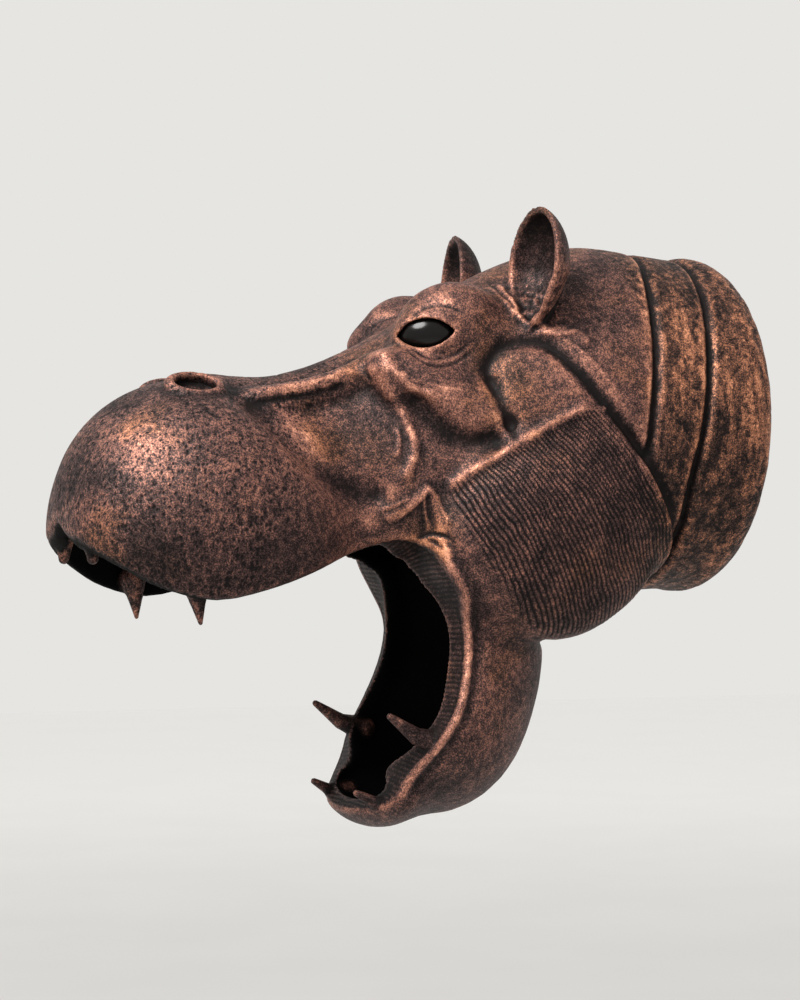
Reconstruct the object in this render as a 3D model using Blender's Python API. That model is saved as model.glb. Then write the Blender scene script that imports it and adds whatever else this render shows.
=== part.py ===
"""Hollow-cast hippopotamus head for a wall: one skin with its jaws wide open, and two set-in eyes.

Metres, +Z up. The wall is the plane Y = 0, the muzzle points along -Y, and the head is symmetric about
X = 0. The origin is the centre of the neck's flat back, on the wall.

The skin is one blended form that no primitive or modifier makes, so it is modelled as a distance field:
rounded masses joined with soft fillets, a mouth cut through them, and a cavity inside. The field is negative
in the casting. Creases and folds are pressed into its outer side along curves drawn in the side view.
"""

import math

import bmesh
import bpy
import numpy as np
from mathutils import Matrix

COLLECTION = "hippopotamus_head"

# Driving dimensions
WALL = 0.012
THINNEST = 0.009
BACK_WALL = 0.010
PAST_WALL = 0.006
LIP_ROUNDING = 0.006
CAVITY_ROUNDING = 0.003
UPPER_LIP_END = (-0.354, -0.318)
GUM = 0.009
GUM_WIDTH = (0.004, 0.030)
GUM_SLOPE = 0.35
GUM_SLOPE_WIDTH = (0.004, 0.018)
WEB_CENTRE = (-0.320, -0.110)
WEB_RADIUS = 0.028
WEB_SLOPE = 2.0
LIP_NOTCH_RISE = 0.012
LIP_NOTCH_HALF = 0.020
LIP_NOTCH_START = (-0.530, -0.575)
EYE_CENTRE = (0.063, -0.2945, 0.068)
EYE_RADII = (0.019, 0.026, 0.019)
EYE_TILT = 4
EYE_YAW = 30
GAP = 0.0003
EYE_OPENING = (0.0250, 0.0125)
EYE_OPENING_ROUNDING = 0.002
LID = 0.0040
LID_FILLET = 0.008
EAR_CENTRE = (0.093, -0.219, 0.126)
EAR_TURN = (-4, -8, 6)
EAR_RADII = (0.0405, 0.0385, 0.054)
EAR_WALL = 0.0054
EAR_RIM = 0.008
EAR_TAPER = 6.0
EAR_ROUNDING = 0.002
EAR_FILLET = 0.006
NOSTRIL_CENTRE = (0.045, -0.494, 0.0185)
NOSTRIL_TURN = (-4, 8, 36)
NOSTRIL_RADII = (0.0135, 0.0195)
NOSTRIL_RIM = 0.0055
NOSTRIL_RIM_HEIGHT = 0.0015
NOSTRIL_RIM_FILLET = 0.006
NOSTRIL_DISH_EDGE = 0.002
NOSTRIL_DISH_DEPTH = 0.0025
NOSTRIL_DISH_ROUNDING = 0.004
MUZZLE_FILLET = 0.030
JAW_FILLET = 0.014
BRIDGE_EDGE_RADIUS = 0.011
BRIDGE_EDGE_FILLET = 0.012
TOOTH_FILLET = 0.003
GRID_STEP = 0.003
GRID_LOW = (-0.180, -0.625, -0.372)
GRID_HIGH = (0.180, 0.009, 0.192)
FILLED = -0.0004
TRIANGLES = 8500

# Sections of the trunk, from wall to bridge of the nose: position along Y, top, underside, half width, and
# how much narrower the top is than the underside.
TRUNK = (
    (0.012, 0.106, -0.106, 0.106, 0.00),
    (0.000, 0.126, -0.126, 0.126, 0.00),
    (-0.008, 0.142, -0.141, 0.142, 0.00),
    (-0.018, 0.150, -0.149, 0.148, 0.00),
    (-0.045, 0.150, -0.149, 0.148, 0.01),
    (-0.085, 0.154, -0.150, 0.144, 0.03),
    (-0.135, 0.157, -0.150, 0.138, 0.06),
    (-0.185, 0.146, -0.146, 0.130, 0.10),
    (-0.225, 0.129, -0.140, 0.120, 0.13),
    (-0.275, 0.099, -0.152, 0.106, 0.12),
    (-0.325, 0.070, -0.172, 0.094, 0.12),
    (-0.375, 0.046, -0.180, 0.083, 0.12),
    (-0.425, 0.032, -0.180, 0.078, 0.10),
    (-0.485, 0.024, -0.180, 0.074, 0.06),
)

# Rounded masses: centre, radii, tilt and yaw in degrees, and the fillet where each joins the one before it
MUZZLE = (
    ((0.000, -0.488, -0.081), (0.113, 0.113, 0.110), 8, 0, 0.000),
    ((0.052, -0.482, -0.104), (0.078, 0.113, 0.106), 5, 4, 0.020),
)
JAW = (
    ((0.000, -0.261, -0.209), (0.100, 0.0895, 0.127), -6, 0, 0.000),
    ((0.000, -0.288, -0.2605), (0.112, 0.0815, 0.0755), -24, 0, 0.030),
    ((0.000, -0.324, -0.318), (0.084, 0.034, 0.034), -10, 0, 0.026),
)
FACE = (
    ((0.053, -0.272, 0.072), (0.036, 0.048, 0.042), 25, 22, 0.020),
    ((0.072, -0.287, 0.010), (0.032, 0.072, 0.028), -32, 8, 0.024),
)
CHEEK_MASS = (
    ((0.080, -0.192, -0.090), (0.066, 0.120, 0.096), 30, 0, 0.012),
)

# Edge between the flat top of the bridge and its side, from the nostril back to the brow
BRIDGE_EDGE = (
    (0.046, -0.474, 0.002),
    (0.050, -0.438, 0.010),
    (0.050, -0.405, 0.016),
    (0.050, -0.375, 0.025),
    (0.049, -0.345, 0.037),
)

# Teeth on the left side: points from root to tip, and the radii there
TEETH = (
    (((0.100, -0.509, -0.140), (0.100, -0.507, -0.154), (0.102, -0.505, -0.173)), 0.0125, 0.0018),
    (((0.048, -0.580, -0.092), (0.050, -0.581, -0.107), (0.053, -0.581, -0.122)), 0.0110, 0.0045),
    (((0.094, -0.296, -0.276), (0.094, -0.317, -0.269), (0.095, -0.341, -0.252)), 0.0115, 0.0028),
    (((0.062, -0.322, -0.327), (0.059, -0.341, -0.326), (0.055, -0.356, -0.318)), 0.0075, 0.0028),
)

# Side view of the mouth's opening, as (Y, Z) points round it: along the upper lip, round the corner, down
# the rim of the lower jaw, and back outside the head.
MOUTH = (
    (-0.745, -0.070),
    (-0.650, -0.084),
    (-0.604, -0.101),
    (-0.584, -0.117),
    (-0.560, -0.133),
    (-0.535, -0.146),
    (-0.495, -0.155),
    (-0.450, -0.146),
    (-0.405, -0.131),
    (-0.368, -0.117),
    (-0.332, -0.107),
    (-0.307, -0.113),
    (-0.295, -0.132),
    (-0.282, -0.156),
    (-0.2755, -0.186),
    (-0.279, -0.216),
    (-0.290, -0.248),
    (-0.307, -0.277),
    (-0.322, -0.301),
    (-0.338, -0.325),
    (-0.370, -0.342),
    (-0.445, -0.372),
    (-0.745, -0.420),
)


def smooth_step(low, high, value):
    t = np.clip((value - low) / (high - low), 0.0, 1.0)
    return t * t * (3.0 - 2.0 * t)


def join(a, b, fillet):
    """Union of two fields with a fillet of about that radius between them."""
    h = np.clip(0.5 + 0.5 * (b - a) / fillet, 0.0, 1.0)
    return b + (a - b) * h - fillet * h * (1.0 - h)


def cut(a, b, rounding):
    """Field a without field b, with a rounded edge."""
    return -join(-a, b, rounding)


def turned(p, centre, tilt=0.0, yaw=0.0, roll=0.0):
    """Coordinates about a centre.

    Positive tilt lowers the front, yaw turns it inwards, and roll leans the top outwards.
    """
    x, y, z = p[0] - centre[0], p[1] - centre[1], p[2] - centre[2]
    c, s = math.cos(math.radians(yaw)), math.sin(math.radians(yaw))
    x, y = x * c - y * s, x * s + y * c
    c, s = math.cos(math.radians(tilt)), math.sin(math.radians(tilt))
    y, z = y * c + z * s, z * c - y * s
    c, s = math.cos(math.radians(roll)), math.sin(math.radians(roll))
    x, z = x * c - z * s, z * c + x * s
    return x, y, z


def ellipsoid(p, centre, radii, tilt=0.0, yaw=0.0, roll=0.0):
    x, y, z = turned(p, centre, tilt, yaw, roll)
    rx, ry, rz = radii
    k0 = np.sqrt((x / rx) ** 2 + (y / ry) ** 2 + (z / rz) ** 2)
    k1 = np.sqrt((x / rx**2) ** 2 + (y / ry**2) ** 2 + (z / rz**2) ** 2)
    return k0 * (k0 - 1.0) / np.maximum(k1, 1e-9)


def spike(p, points, r_base, r_tip):
    """A round-ended tapering spike bent through its points."""
    pts = [np.array(q, float) for q in points]
    parts = len(pts) - 1
    d = None
    for k in range(parts):
        a, axis = pts[k], pts[k + 1] - pts[k]
        q = [p[i] - a[i] for i in range(3)]
        t = np.clip(sum(q[i] * axis[i] for i in range(3)) / (axis @ axis), 0.0, 1.0)
        gap = np.sqrt(sum((q[i] - t * axis[i]) ** 2 for i in range(3)))
        gap = gap - (r_base + (r_tip - r_base) * (k + t) / parts)
        d = gap if d is None else np.minimum(d, gap)
    return d


def spline(stations, at):
    """Smooth curve through rows of (position, value, value, ...), read at the positions given."""
    rows = np.array(sorted(stations))
    x, v = rows[:, 0], rows[:, 1:]
    slope = np.gradient(v, x, axis=0)
    i = np.clip(np.searchsorted(x, at) - 1, 0, len(x) - 2)
    h = x[i + 1] - x[i]
    t = np.clip((at - x[i]) / h, 0.0, 1.0)
    out = []
    for k in range(v.shape[1]):
        a, b = v[i, k], v[i + 1, k]
        m, n = slope[i, k] * h, slope[i + 1, k] * h
        rise = (3.0 - 2.0 * t) * t**2
        out.append(a + (b - a) * rise + (t**3 - 2 * t**2 + t) * m + (t**3 - t**2) * n)
    return out


def smooth_path(points, closed=False, pieces=4):
    """A smooth polyline through the points."""
    pts = np.array(points, float)
    n = len(pts)
    out = []
    for i in range(n if closed else n - 1):
        if closed:
            a, b, c, d = (pts[(i + k) % n] for k in (-1, 0, 1, 2))
        else:
            b, c = pts[i], pts[i + 1]
            a = pts[i - 1] if i else 2 * b - c
            d = pts[i + 2] if i + 2 < n else 2 * c - b
        for t in np.arange(pieces) / pieces:
            bend = (2 * a - 5 * b + 4 * c - d) * t**2 + (3 * b - a - 3 * c + d) * t**3
            out.append(0.5 * (2 * b + (c - a) * t + bend))
    if not closed:
        out.append(pts[-1])
    return np.array(out)


def outline_field(y, z, points):
    """Signed distance in the side view to a closed smooth outline, negative inside."""
    path = smooth_path(points, closed=True, pieces=3)
    best = np.full(y.shape, 1e9)
    inside = np.zeros(y.shape, bool)
    for (ay, az), (by, bz) in zip(path, np.roll(path, -1, axis=0)):
        ey, ez = by - ay, bz - az
        wy, wz = y - ay, z - az
        t = np.clip((wy * ey + wz * ez) / (ey * ey + ez * ez), 0.0, 1.0)
        best = np.minimum(best, (wy - ey * t) ** 2 + (wz - ez * t) ** 2)
        straddles = (az > z) != (bz > z)
        side = wy * ez - wz * ey
        inside ^= straddles & ((side < 0) == (ez > 0))
    return np.sqrt(best) * np.where(inside, -1.0, 1.0)


def trunk(p, shrink=0.0):
    """Neck, cranium and bridge of the nose, as a loft of rounded sections along Y."""
    x, y, z = p
    top, under, half, taper = spline(TRUNK, y)
    middle, height = (top + under) / 2, (top - under) / 2 - shrink
    half = half - shrink
    v = (z - middle) / height
    width = half * (1.0 - taper * np.clip(v, -1.2, 1.2))
    q = np.sqrt((x / width) ** 2 + v**2)
    reach = np.sqrt(x**2 + (z - middle) ** 2)
    d = reach * (1.0 - 1.0 / np.maximum(q, 1e-6))
    return np.maximum(d, -(y + 0.485))


def add_masses(p, form, rows):
    """The form, or nothing, with the rounded masses joined to it one by one."""
    for centre, radii, tilt, yaw, fillet in rows:
        mass = ellipsoid(p, centre, radii, tilt, yaw)
        form = mass if form is None else join(form, mass, fillet)
    return form


def outer(p):
    """The closed outer form, before the mouth is cut."""
    d = join(trunk(p), add_masses(p, None, MUZZLE), MUZZLE_FILLET)
    d = add_masses(p, d, FACE)
    edge = spike(p, BRIDGE_EDGE, BRIDGE_EDGE_RADIUS, BRIDGE_EDGE_RADIUS)
    d = join(d, edge, BRIDGE_EDGE_FILLET)
    d = add_masses(p, d, CHEEK_MASS)
    return join(d, add_masses(p, None, JAW), JAW_FILLET)


def behind_lips(y):
    """One along the lower jaw and round the corners of the mouth, nothing along the upper lip."""
    return smooth_step(*UPPER_LIP_END, y)


def mouth(p, depth):
    """Space cut out between the jaws, with a notch in the middle of the upper lip.

    Inside the lip, the lower jaw's rim slopes forward to a gum ridge, and more so at the mouth's corner.
    """
    x, y, z = p
    low, high = GUM_SLOPE_WIDTH
    gum = np.clip(depth - low, 0.0, high - low) * GUM_SLOPE * behind_lips(y)
    web = np.exp(-((y - WEB_CENTRE[0]) ** 2 + (z - WEB_CENTRE[1]) ** 2) / WEB_RADIUS**2)
    notch = LIP_NOTCH_RISE * np.exp(-((x / LIP_NOTCH_HALF) ** 2)) * smooth_step(*LIP_NOTCH_START, y)
    return outline_field(y, z - notch, MOUTH) + gum * (1.0 + WEB_SLOPE * web)


def cavity(p, gap):
    """Hollow inside the casting, narrower behind the gums. The gap is the distance from the mouth."""
    jaws = join(add_masses(p, None, MUZZLE), add_masses(p, None, JAW), MUZZLE_FILLET)
    d = join(trunk(p, WALL), jaws + WALL, MUZZLE_FILLET)
    d = d + GUM * (1.0 - smooth_step(*GUM_WIDTH, gap)) * behind_lips(p[1])
    return np.maximum(d, p[1] + BACK_WALL)


def ear(p):
    """Upright cup, narrower towards its foot, open to the front."""
    x, y, z = turned(p, EAR_CENTRE, *EAR_TURN)
    narrow = 1.0 + EAR_TAPER * np.clip(-z, 0.0, EAR_RADII[2])
    q = (x * narrow, (y - EAR_RIM) * narrow + EAR_RIM, z)
    shell = ellipsoid(q, (0.0, 0.0, 0.0), EAR_RADII)
    scoop = ellipsoid(q, (0.0, 0.0, 0.0), [r - EAR_WALL for r in EAR_RADII])
    return cut(np.maximum(shell, EAR_RIM - q[1]), scoop, EAR_ROUNDING)


def nostril(p):
    """Position about the nostril: outwards from its oval, and up from the skin."""
    x, y, z = turned(p, NOSTRIL_CENTRE, *NOSTRIL_TURN)
    round_it = np.hypot(x / NOSTRIL_RADII[0], y / NOSTRIL_RADII[1])
    return (round_it - 1.0) * sum(NOSTRIL_RADII) / 2, z


def eyeball(p, gap=0.0):
    return ellipsoid(p, EYE_CENTRE, [r + gap for r in EYE_RADII], EYE_TILT, EYE_YAW)


def eye_opening(p):
    """Almond between the lids, cut in from the side."""
    x, y, z = turned(p, EYE_CENTRE, EYE_TILT, EYE_YAW)
    half, rise = EYE_OPENING
    radius = (half**2 + rise**2) / (2 * rise)
    almond = np.maximum(np.hypot(y, z + radius - rise), np.hypot(y, z - radius + rise)) - radius
    return np.maximum(almond, -x)


def teeth(p):
    d = None
    for points, root, tip in TEETH:
        tooth = spike(p, points, root, tip)
        d = tooth if d is None else np.minimum(d, tooth)
    return d


def face_form(p):
    """The closed outer form with its eyelids, and its nostrils as raised rings round shallow dishes."""
    across, height = nostril(p)
    ring = np.hypot(across, height - NOSTRIL_RIM_HEIGHT) - NOSTRIL_RIM
    dish = np.maximum(across + NOSTRIL_DISH_EDGE, -(height + NOSTRIL_DISH_DEPTH))
    form = cut(join(outer(p), ring, NOSTRIL_RIM_FILLET), dish, NOSTRIL_DISH_ROUNDING)
    return join(form, eyeball(p, LID), LID_FILLET)


def casting(p):
    form = face_form(p)
    d = join(form, ear(p), EAR_FILLET)
    opening = mouth(p, -form)
    d = cut(d, opening, LIP_ROUNDING)
    d = cut(d, np.maximum(cavity(p, opening), form + THINNEST), CAVITY_ROUNDING)
    d = join(d, teeth(p), TOOTH_FILLET)
    d = cut(d, eye_opening(p), EYE_OPENING_ROUNDING)
    return np.maximum(d, p[1] - PAST_WALL)


# Creases and folds pressed into the skin. Each has a path of (Y, Z) points in the side view, how far it
# sinks (a ridge rises, so its number is negative), and its width.
NECK_CREASE_FRONT = ((-0.084, 0.190), (-0.086, 0.150), (-0.098, 0.123), (-0.106, 0.092), (-0.114, 0.042),
                     (-0.121, -0.009), (-0.124, -0.047))
NECK_CREASE_BACK = ((-0.040, 0.190), (-0.041, 0.150), (-0.050, 0.116), (-0.060, 0.074), (-0.067, 0.030),
                    (-0.075, -0.020), (-0.081, -0.060), (-0.079, -0.102), (-0.074, -0.190))
TEMPLE = ((-0.246, 0.005), (-0.254, 0.036), (-0.244, 0.054), (-0.228, 0.062), (-0.206, 0.060),
          (-0.185, 0.040), (-0.164, 0.011), (-0.140, -0.024), (-0.124, -0.047))
TEMPLE_FRONT = ((-0.254, 0.036), (-0.247, 0.008), (-0.238, -0.014))
CHEEKBONE_HOLLOW = ((-0.330, 0.020), (-0.301, -0.010), (-0.278, -0.024), (-0.243, -0.018))
UNDER_EYE_FOLD = ((-0.342, 0.054), (-0.335, 0.036), (-0.322, 0.020), (-0.300, 0.012))
CHEEK_FOLD = ((-0.346, 0.046), (-0.342, 0.036), (-0.338, 0.025), (-0.331, 0.010), (-0.323, -0.008),
              (-0.319, -0.022), (-0.319, -0.036), (-0.325, -0.050), (-0.330, -0.060))
MUZZLE_FOLD = ((-0.472, 0.027), (-0.458, 0.013), (-0.441, -0.006), (-0.425, -0.025), (-0.407, -0.043),
               (-0.384, -0.058), (-0.356, -0.068), (-0.335, -0.068))
CORNER_FOLD_FRONT = ((-0.306, -0.060), (-0.316, -0.071), (-0.330, -0.082), (-0.345, -0.091))
CORNER_FOLD_BACK = ((-0.307, -0.061), (-0.303, -0.076), (-0.299, -0.090), (-0.299, -0.103))
CHEEK_RIDGE = ((-0.296, -0.066), (-0.273, -0.048), (-0.234, -0.024), (-0.199, -0.005), (-0.172, 0.009))
BROW_FOLD = ((-0.208, 0.072), (-0.186, 0.070), (-0.168, 0.060))
CREASES = (
    (NECK_CREASE_FRONT, 0.0050, 0.0038),
    (NECK_CREASE_BACK, 0.0050, 0.0038),
    (TEMPLE, 0.0050, 0.0070),
    (TEMPLE_FRONT, 0.0030, 0.0060),
    (CHEEKBONE_HOLLOW, 0.0080, 0.0110),
    (UNDER_EYE_FOLD, -0.0030, 0.0050),
    (CHEEK_FOLD, -0.0030, 0.0042),
    (MUZZLE_FOLD, 0.0060, 0.0120),
    (CORNER_FOLD_FRONT, -0.0022, 0.0042),
    (CORNER_FOLD_BACK, -0.0024, 0.0040),
    (CHEEK_RIDGE, -0.0030, 0.0050),
    (BROW_FOLD, -0.0020, 0.0050),
)

# The bead along the lower lip, with a hollow behind it: height, then each one's distance from the mouth and
# its width
LIP_BEAD = (0.0026, 0.004, 0.0028)
LIP_HOLLOW = (-0.0013, 0.011, 0.0045)

# The ribbed cheek lies over the jaw and the neck as a flap, with its edge standing up behind and below.
FLAP_RISE = 0.0055
FLAP_FADE = 0.035
FLAP_EDGE = (0.0015, -0.0025)
FLAP_TROUGH = (-0.0030, 0.004, 0.005)
CHEEK = (
    (-0.296, -0.066),
    (-0.273, -0.048),
    (-0.234, -0.024),
    (-0.199, -0.005),
    (-0.168, 0.008),
    (-0.144, -0.018),
    (-0.122, -0.047),
    (-0.103, -0.076),
    (-0.088, -0.102),
    (-0.084, -0.130),
    (-0.104, -0.158),
    (-0.150, -0.182),
    (-0.206, -0.190),
    (-0.244, -0.160),
    (-0.278, -0.110),
)


def path_distance(y, z, points):
    """Distance in the side view to a smooth open path, and how far along it the nearest point lies."""
    path = smooth_path(points, pieces=3)
    best = np.full(y.shape, 1e9)
    along = np.zeros(y.shape)
    for k, ((ay, az), (by, bz)) in enumerate(zip(path[:-1], path[1:])):
        ey, ez = by - ay, bz - az
        wy, wz = y - ay, z - az
        t = np.clip((wy * ey + wz * ez) / (ey * ey + ez * ez), 0.0, 1.0)
        gap = (wy - ey * t) ** 2 + (wz - ez * t) ** 2
        nearer = gap < best
        best = np.where(nearer, gap, best)
        along = np.where(nearer, (k + t) / (len(path) - 1), along)
    return np.sqrt(best), along


def swell(distance, height, centre, width):
    """A rounded ridge, or a trough where the height is negative, at that distance from a line."""
    return height * np.exp(-(((distance - centre) / width) ** 2))


def relief(p):
    """How far the skin stands out from the plain form, in metres."""
    x, y, z = p
    out = np.zeros(y.shape)
    for points, sink, width in CREASES:
        gap, along = path_distance(y, z, points)
        ends = smooth_step(0.0, 0.12, along) * smooth_step(0.0, 0.12, 1.0 - along)
        out -= swell(gap, sink, 0.0, width) * ends
    beyond = outline_field(y, z, CHEEK)
    free_edge = smooth_step(-0.225, -0.150, y) * smooth_step(-0.225, -0.165, y - 0.9 * (z + 0.060))
    flap = np.where(beyond < 0.0, FLAP_RISE * np.exp(beyond / FLAP_FADE), 0.0)
    flap = flap * smooth_step(*FLAP_EDGE, beyond) + swell(beyond, *FLAP_TROUGH)
    out += flap * free_edge
    lip = outline_field(y, z, MOUTH)
    lower_lip = smooth_step(-0.340, -0.310, y) * smooth_step(-0.102, -0.112, z)
    out += (swell(lip, *LIP_BEAD) + swell(lip, *LIP_HOLLOW)) * lower_lip
    return out


def mesh_field(field, low, high, step):
    """Meshes the zero level of a field: one point in each cell that the surface crosses."""
    low = np.array(low, float)
    counts = np.ceil((np.array(high) - low) / step).astype(int) + 1
    axes = [low[i] + step * np.arange(counts[i]) for i in range(3)]
    values = sample(field, axes, step)
    fill_touching(values)
    inside = values < 0
    corner = [(i, j, k) for i in (0, 1) for j in (0, 1) for k in (0, 1)]
    shape = counts - 1
    total = np.zeros(shape, np.int8)
    for i, j, k in corner:
        total += inside[i : i + shape[0], j : j + shape[1], k : k + shape[2]]
    cells = np.argwhere((total > 0) & (total < 8))
    index = -np.ones(shape, np.int64)
    index[tuple(cells.T)] = np.arange(len(cells))
    point, hits = np.zeros((len(cells), 3)), np.zeros(len(cells))
    for a in corner:
        for axis in range(3):
            if a[axis]:
                continue
            b = list(a)
            b[axis] = 1
            va = values[tuple((cells + a).T)]
            vb = values[tuple((cells + b).T)]
            cross = (va < 0) != (vb < 0)
            t = va[cross] / (va[cross] - vb[cross])
            start = cells[cross] + np.array(a, float)
            start[:, axis] += t
            point[cross] += start
            hits[cross] += 1
    point = low + step * point / hits[:, None]
    faces = []
    for axis in range(3):
        u, v = (axis + 1) % 3, (axis + 2) % 3
        ahead = [slice(None)] * 3
        ahead[axis] = slice(1, None)
        behind = [slice(None)] * 3
        behind[axis] = slice(None, -1)
        cross = inside[tuple(behind)] != inside[tuple(ahead)]
        edge = np.argwhere(cross)
        edge = edge[(edge[:, u] > 0) & (edge[:, v] > 0) & (edge[:, u] < shape[u]) & (edge[:, v] < shape[v])]
        step_u, step_v = np.eye(3, dtype=int)[u], np.eye(3, dtype=int)[v]
        ring = [edge - step_u - step_v, edge - step_v, edge, edge - step_u]
        quad = np.stack([index[tuple(c.T)] for c in ring], -1)
        outward = inside[tuple(edge.T)]
        faces.append(np.where(outward[:, None], quad, quad[:, ::-1]))
    return point, np.concatenate(faces)


def sample(field, axes, step):
    """Field values on the grid. Blocks of cells that lie far from the surface keep their middle's value."""
    block = 4
    n = [len(a) for a in axes]
    values = np.empty(n, np.float32)
    middle = [a[min(block // 2, len(a) - 1) :: block] for a in axes]
    rough = field(np.stack(np.meshgrid(*middle, indexing="ij")).reshape(3, -1))
    rough = rough.reshape([len(m) for m in middle])
    spread = [np.minimum(np.arange(c) // block, len(m) - 1) for c, m in zip(n, middle)]
    values[:] = rough[np.ix_(*spread)]
    near = np.argwhere(np.abs(values) < 2.2 * block * step)
    p = np.stack([axes[i][near[:, i]] for i in range(3)])
    values[tuple(near.T)] = field(p)
    return values


def fill_touching(values):
    """Fills grid points where the material would touch itself along an edge or at a corner."""
    filled = True
    while filled:
        filled = False
        for u, v in ((0, 1), (0, 2), (1, 2)):
            a, b, c, d = (shifted(values, {u: i, v: j}) for i, j in ((0, 0), (1, 0), (0, 1), (1, 1)))
            for one, two, three, four in ((a, d, b, c), (b, c, a, d)):
                crossed = (one < 0) & (two < 0) & (three >= 0) & (four >= 0)
                three[crossed] = FILLED
                four[crossed] = FILLED
                filled |= bool(crossed.any())
        eight = [(i, j, k) for i in (0, 1) for j in (0, 1) for k in (0, 1)]
        corners = {corner: shifted(values, dict(enumerate(corner))) for corner in eight}
        count = sum((c < 0).astype(np.int8) for c in corners.values())
        for (i, j, k), near in corners.items():
            far = corners[1 - i, 1 - j, 1 - k]
            pair = (count == 2) & (near < 0) & (far < 0)
            corners[1 - i, j, k][pair] = FILLED
            hole = (count == 6) & (near >= 0) & (far >= 0)
            near[hole] = FILLED
            filled |= bool(pair.any() or hole.any())


def shifted(values, offsets):
    """View of the grid with its first or last layer left off along each axis named."""
    part = [slice(None)] * 3
    for axis, offset in offsets.items():
        part[axis] = slice(1, None) if offset else slice(None, -1)
    return values[tuple(part)]


def mirrored(field):
    """The field made symmetric about X = 0."""
    return lambda p: field(np.stack([np.abs(p[0]), p[1], p[2]]))


def point_normals(points, faces):
    """Area-weighted normals of a quad mesh at its points."""
    a, b, c, d = (points[faces[:, k]] for k in range(4))
    face_normals = np.cross(c - a, d - b)
    normals = np.zeros_like(points)
    for k in range(4):
        np.add.at(normals, faces[:, k], face_normals)
    return normals / np.maximum(np.linalg.norm(normals, axis=1, keepdims=True), 1e-12)


def carved(points, faces):
    """Points moved out or in by the relief, on the outer side of the skin alone."""
    p = np.stack([np.abs(points[:, 0]), points[:, 1], points[:, 2]])
    skin = 1.0 - smooth_step(0.002, 0.005, np.abs(face_form(p)))
    off_wall = smooth_step(0.0, 0.008, -p[1])
    return points + point_normals(points, faces) * (relief(p) * skin * off_wall)[:, None]


def add_object(name, mesh, collection):
    thing = bpy.data.objects.new(name, mesh)
    collection.objects.link(thing)
    return thing


def add_cutter(name, mesh, collection):
    cutter = add_object(name, mesh, collection)
    cutter.display_type = "WIRE"
    cutter.hide_render = True
    return cutter


def make_collection(name):
    collection = bpy.data.collections.new(name)
    bpy.context.scene.collection.children.link(collection)
    return collection


def make_material(name, colour, roughness, metallic):
    material = bpy.data.materials.new(name)
    material.use_nodes = True
    shader = material.node_tree.nodes["Principled BSDF"]
    shader.inputs["Base Color"].default_value = (*colour, 1.0)
    shader.inputs["Roughness"].default_value = roughness
    shader.inputs["Metallic"].default_value = metallic
    return material


def ball_mesh(name, gap=0.0):
    """The eye's ellipsoid about its own centre."""
    mesh = bpy.data.meshes.new(name)
    form = bmesh.new()
    size = Matrix.Diagonal([*(r + gap for r in EYE_RADII), 1.0])
    bmesh.ops.create_uvsphere(form, u_segments=20, v_segments=12, radius=1.0, matrix=size)
    form.to_mesh(mesh)
    form.free()
    mesh.shade_smooth()
    return mesh


def place_eye(thing, side):
    x, y, z = EYE_CENTRE
    thing.location = (side * x, y, z)
    thing.rotation_euler = (math.radians(EYE_TILT), 0.0, -side * math.radians(EYE_YAW))


def wall_cutter(collection):
    """Everything behind the wall's plane."""
    mesh = bpy.data.meshes.new("wall_cutter")
    form = bmesh.new()
    bmesh.ops.create_cube(form, size=0.5, matrix=Matrix.Translation((0.0, 0.25, 0.0)))
    form.to_mesh(mesh)
    form.free()
    return add_cutter("wall_cutter", mesh, collection)


def cut_with(thing, cutter):
    modifier = thing.modifiers.new(cutter.name, "BOOLEAN")
    modifier.operation = "DIFFERENCE"
    modifier.solver = "EXACT"
    modifier.object = cutter


def make_head(collection, cutters):
    points, faces = mesh_field(mirrored(casting), GRID_LOW, GRID_HIGH, GRID_STEP)
    mesh = bpy.data.meshes.new("head")
    mesh.from_pydata(carved(points, faces).tolist(), [], faces.tolist())
    head = add_object("head", mesh, collection)
    thin = head.modifiers.new("thin", "DECIMATE")
    thin.ratio = TRIANGLES / (2 * len(faces))
    cut_with(head, wall_cutter(cutters))
    for side, word in ((1, "left"), (-1, "right")):
        socket = add_cutter(f"socket_{word}", ball_mesh(f"socket_{word}", GAP), cutters)
        place_eye(socket, side)
        cut_with(head, socket)
    mesh.shade_smooth()
    mesh.materials.append(make_material("copper_patina", (0.085, 0.045, 0.035), 0.6, 0.4))


def make_eyes(collection):
    glass = make_material("eye_black", (0.004, 0.004, 0.004), 0.05, 0.0)
    for side, word in ((1, "left"), (-1, "right")):
        eye = add_object(f"eye_{word}", ball_mesh(f"eye_{word}"), collection)
        place_eye(eye, side)
        eye.data.materials.append(glass)


def main():
    for thing in list(bpy.data.objects):
        bpy.data.objects.remove(thing)
    collection = make_collection(COLLECTION)
    cutters = make_collection("cutters")
    make_head(collection, cutters)
    make_eyes(collection)


if __name__ == "__main__":
    main()
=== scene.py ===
"""Looks of the hippopotamus head: fine modelling, patina, glossy eyes, light and camera."""

import math

import bmesh
import bpy
import numpy as np
from mathutils import Euler, Matrix, Vector


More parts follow.
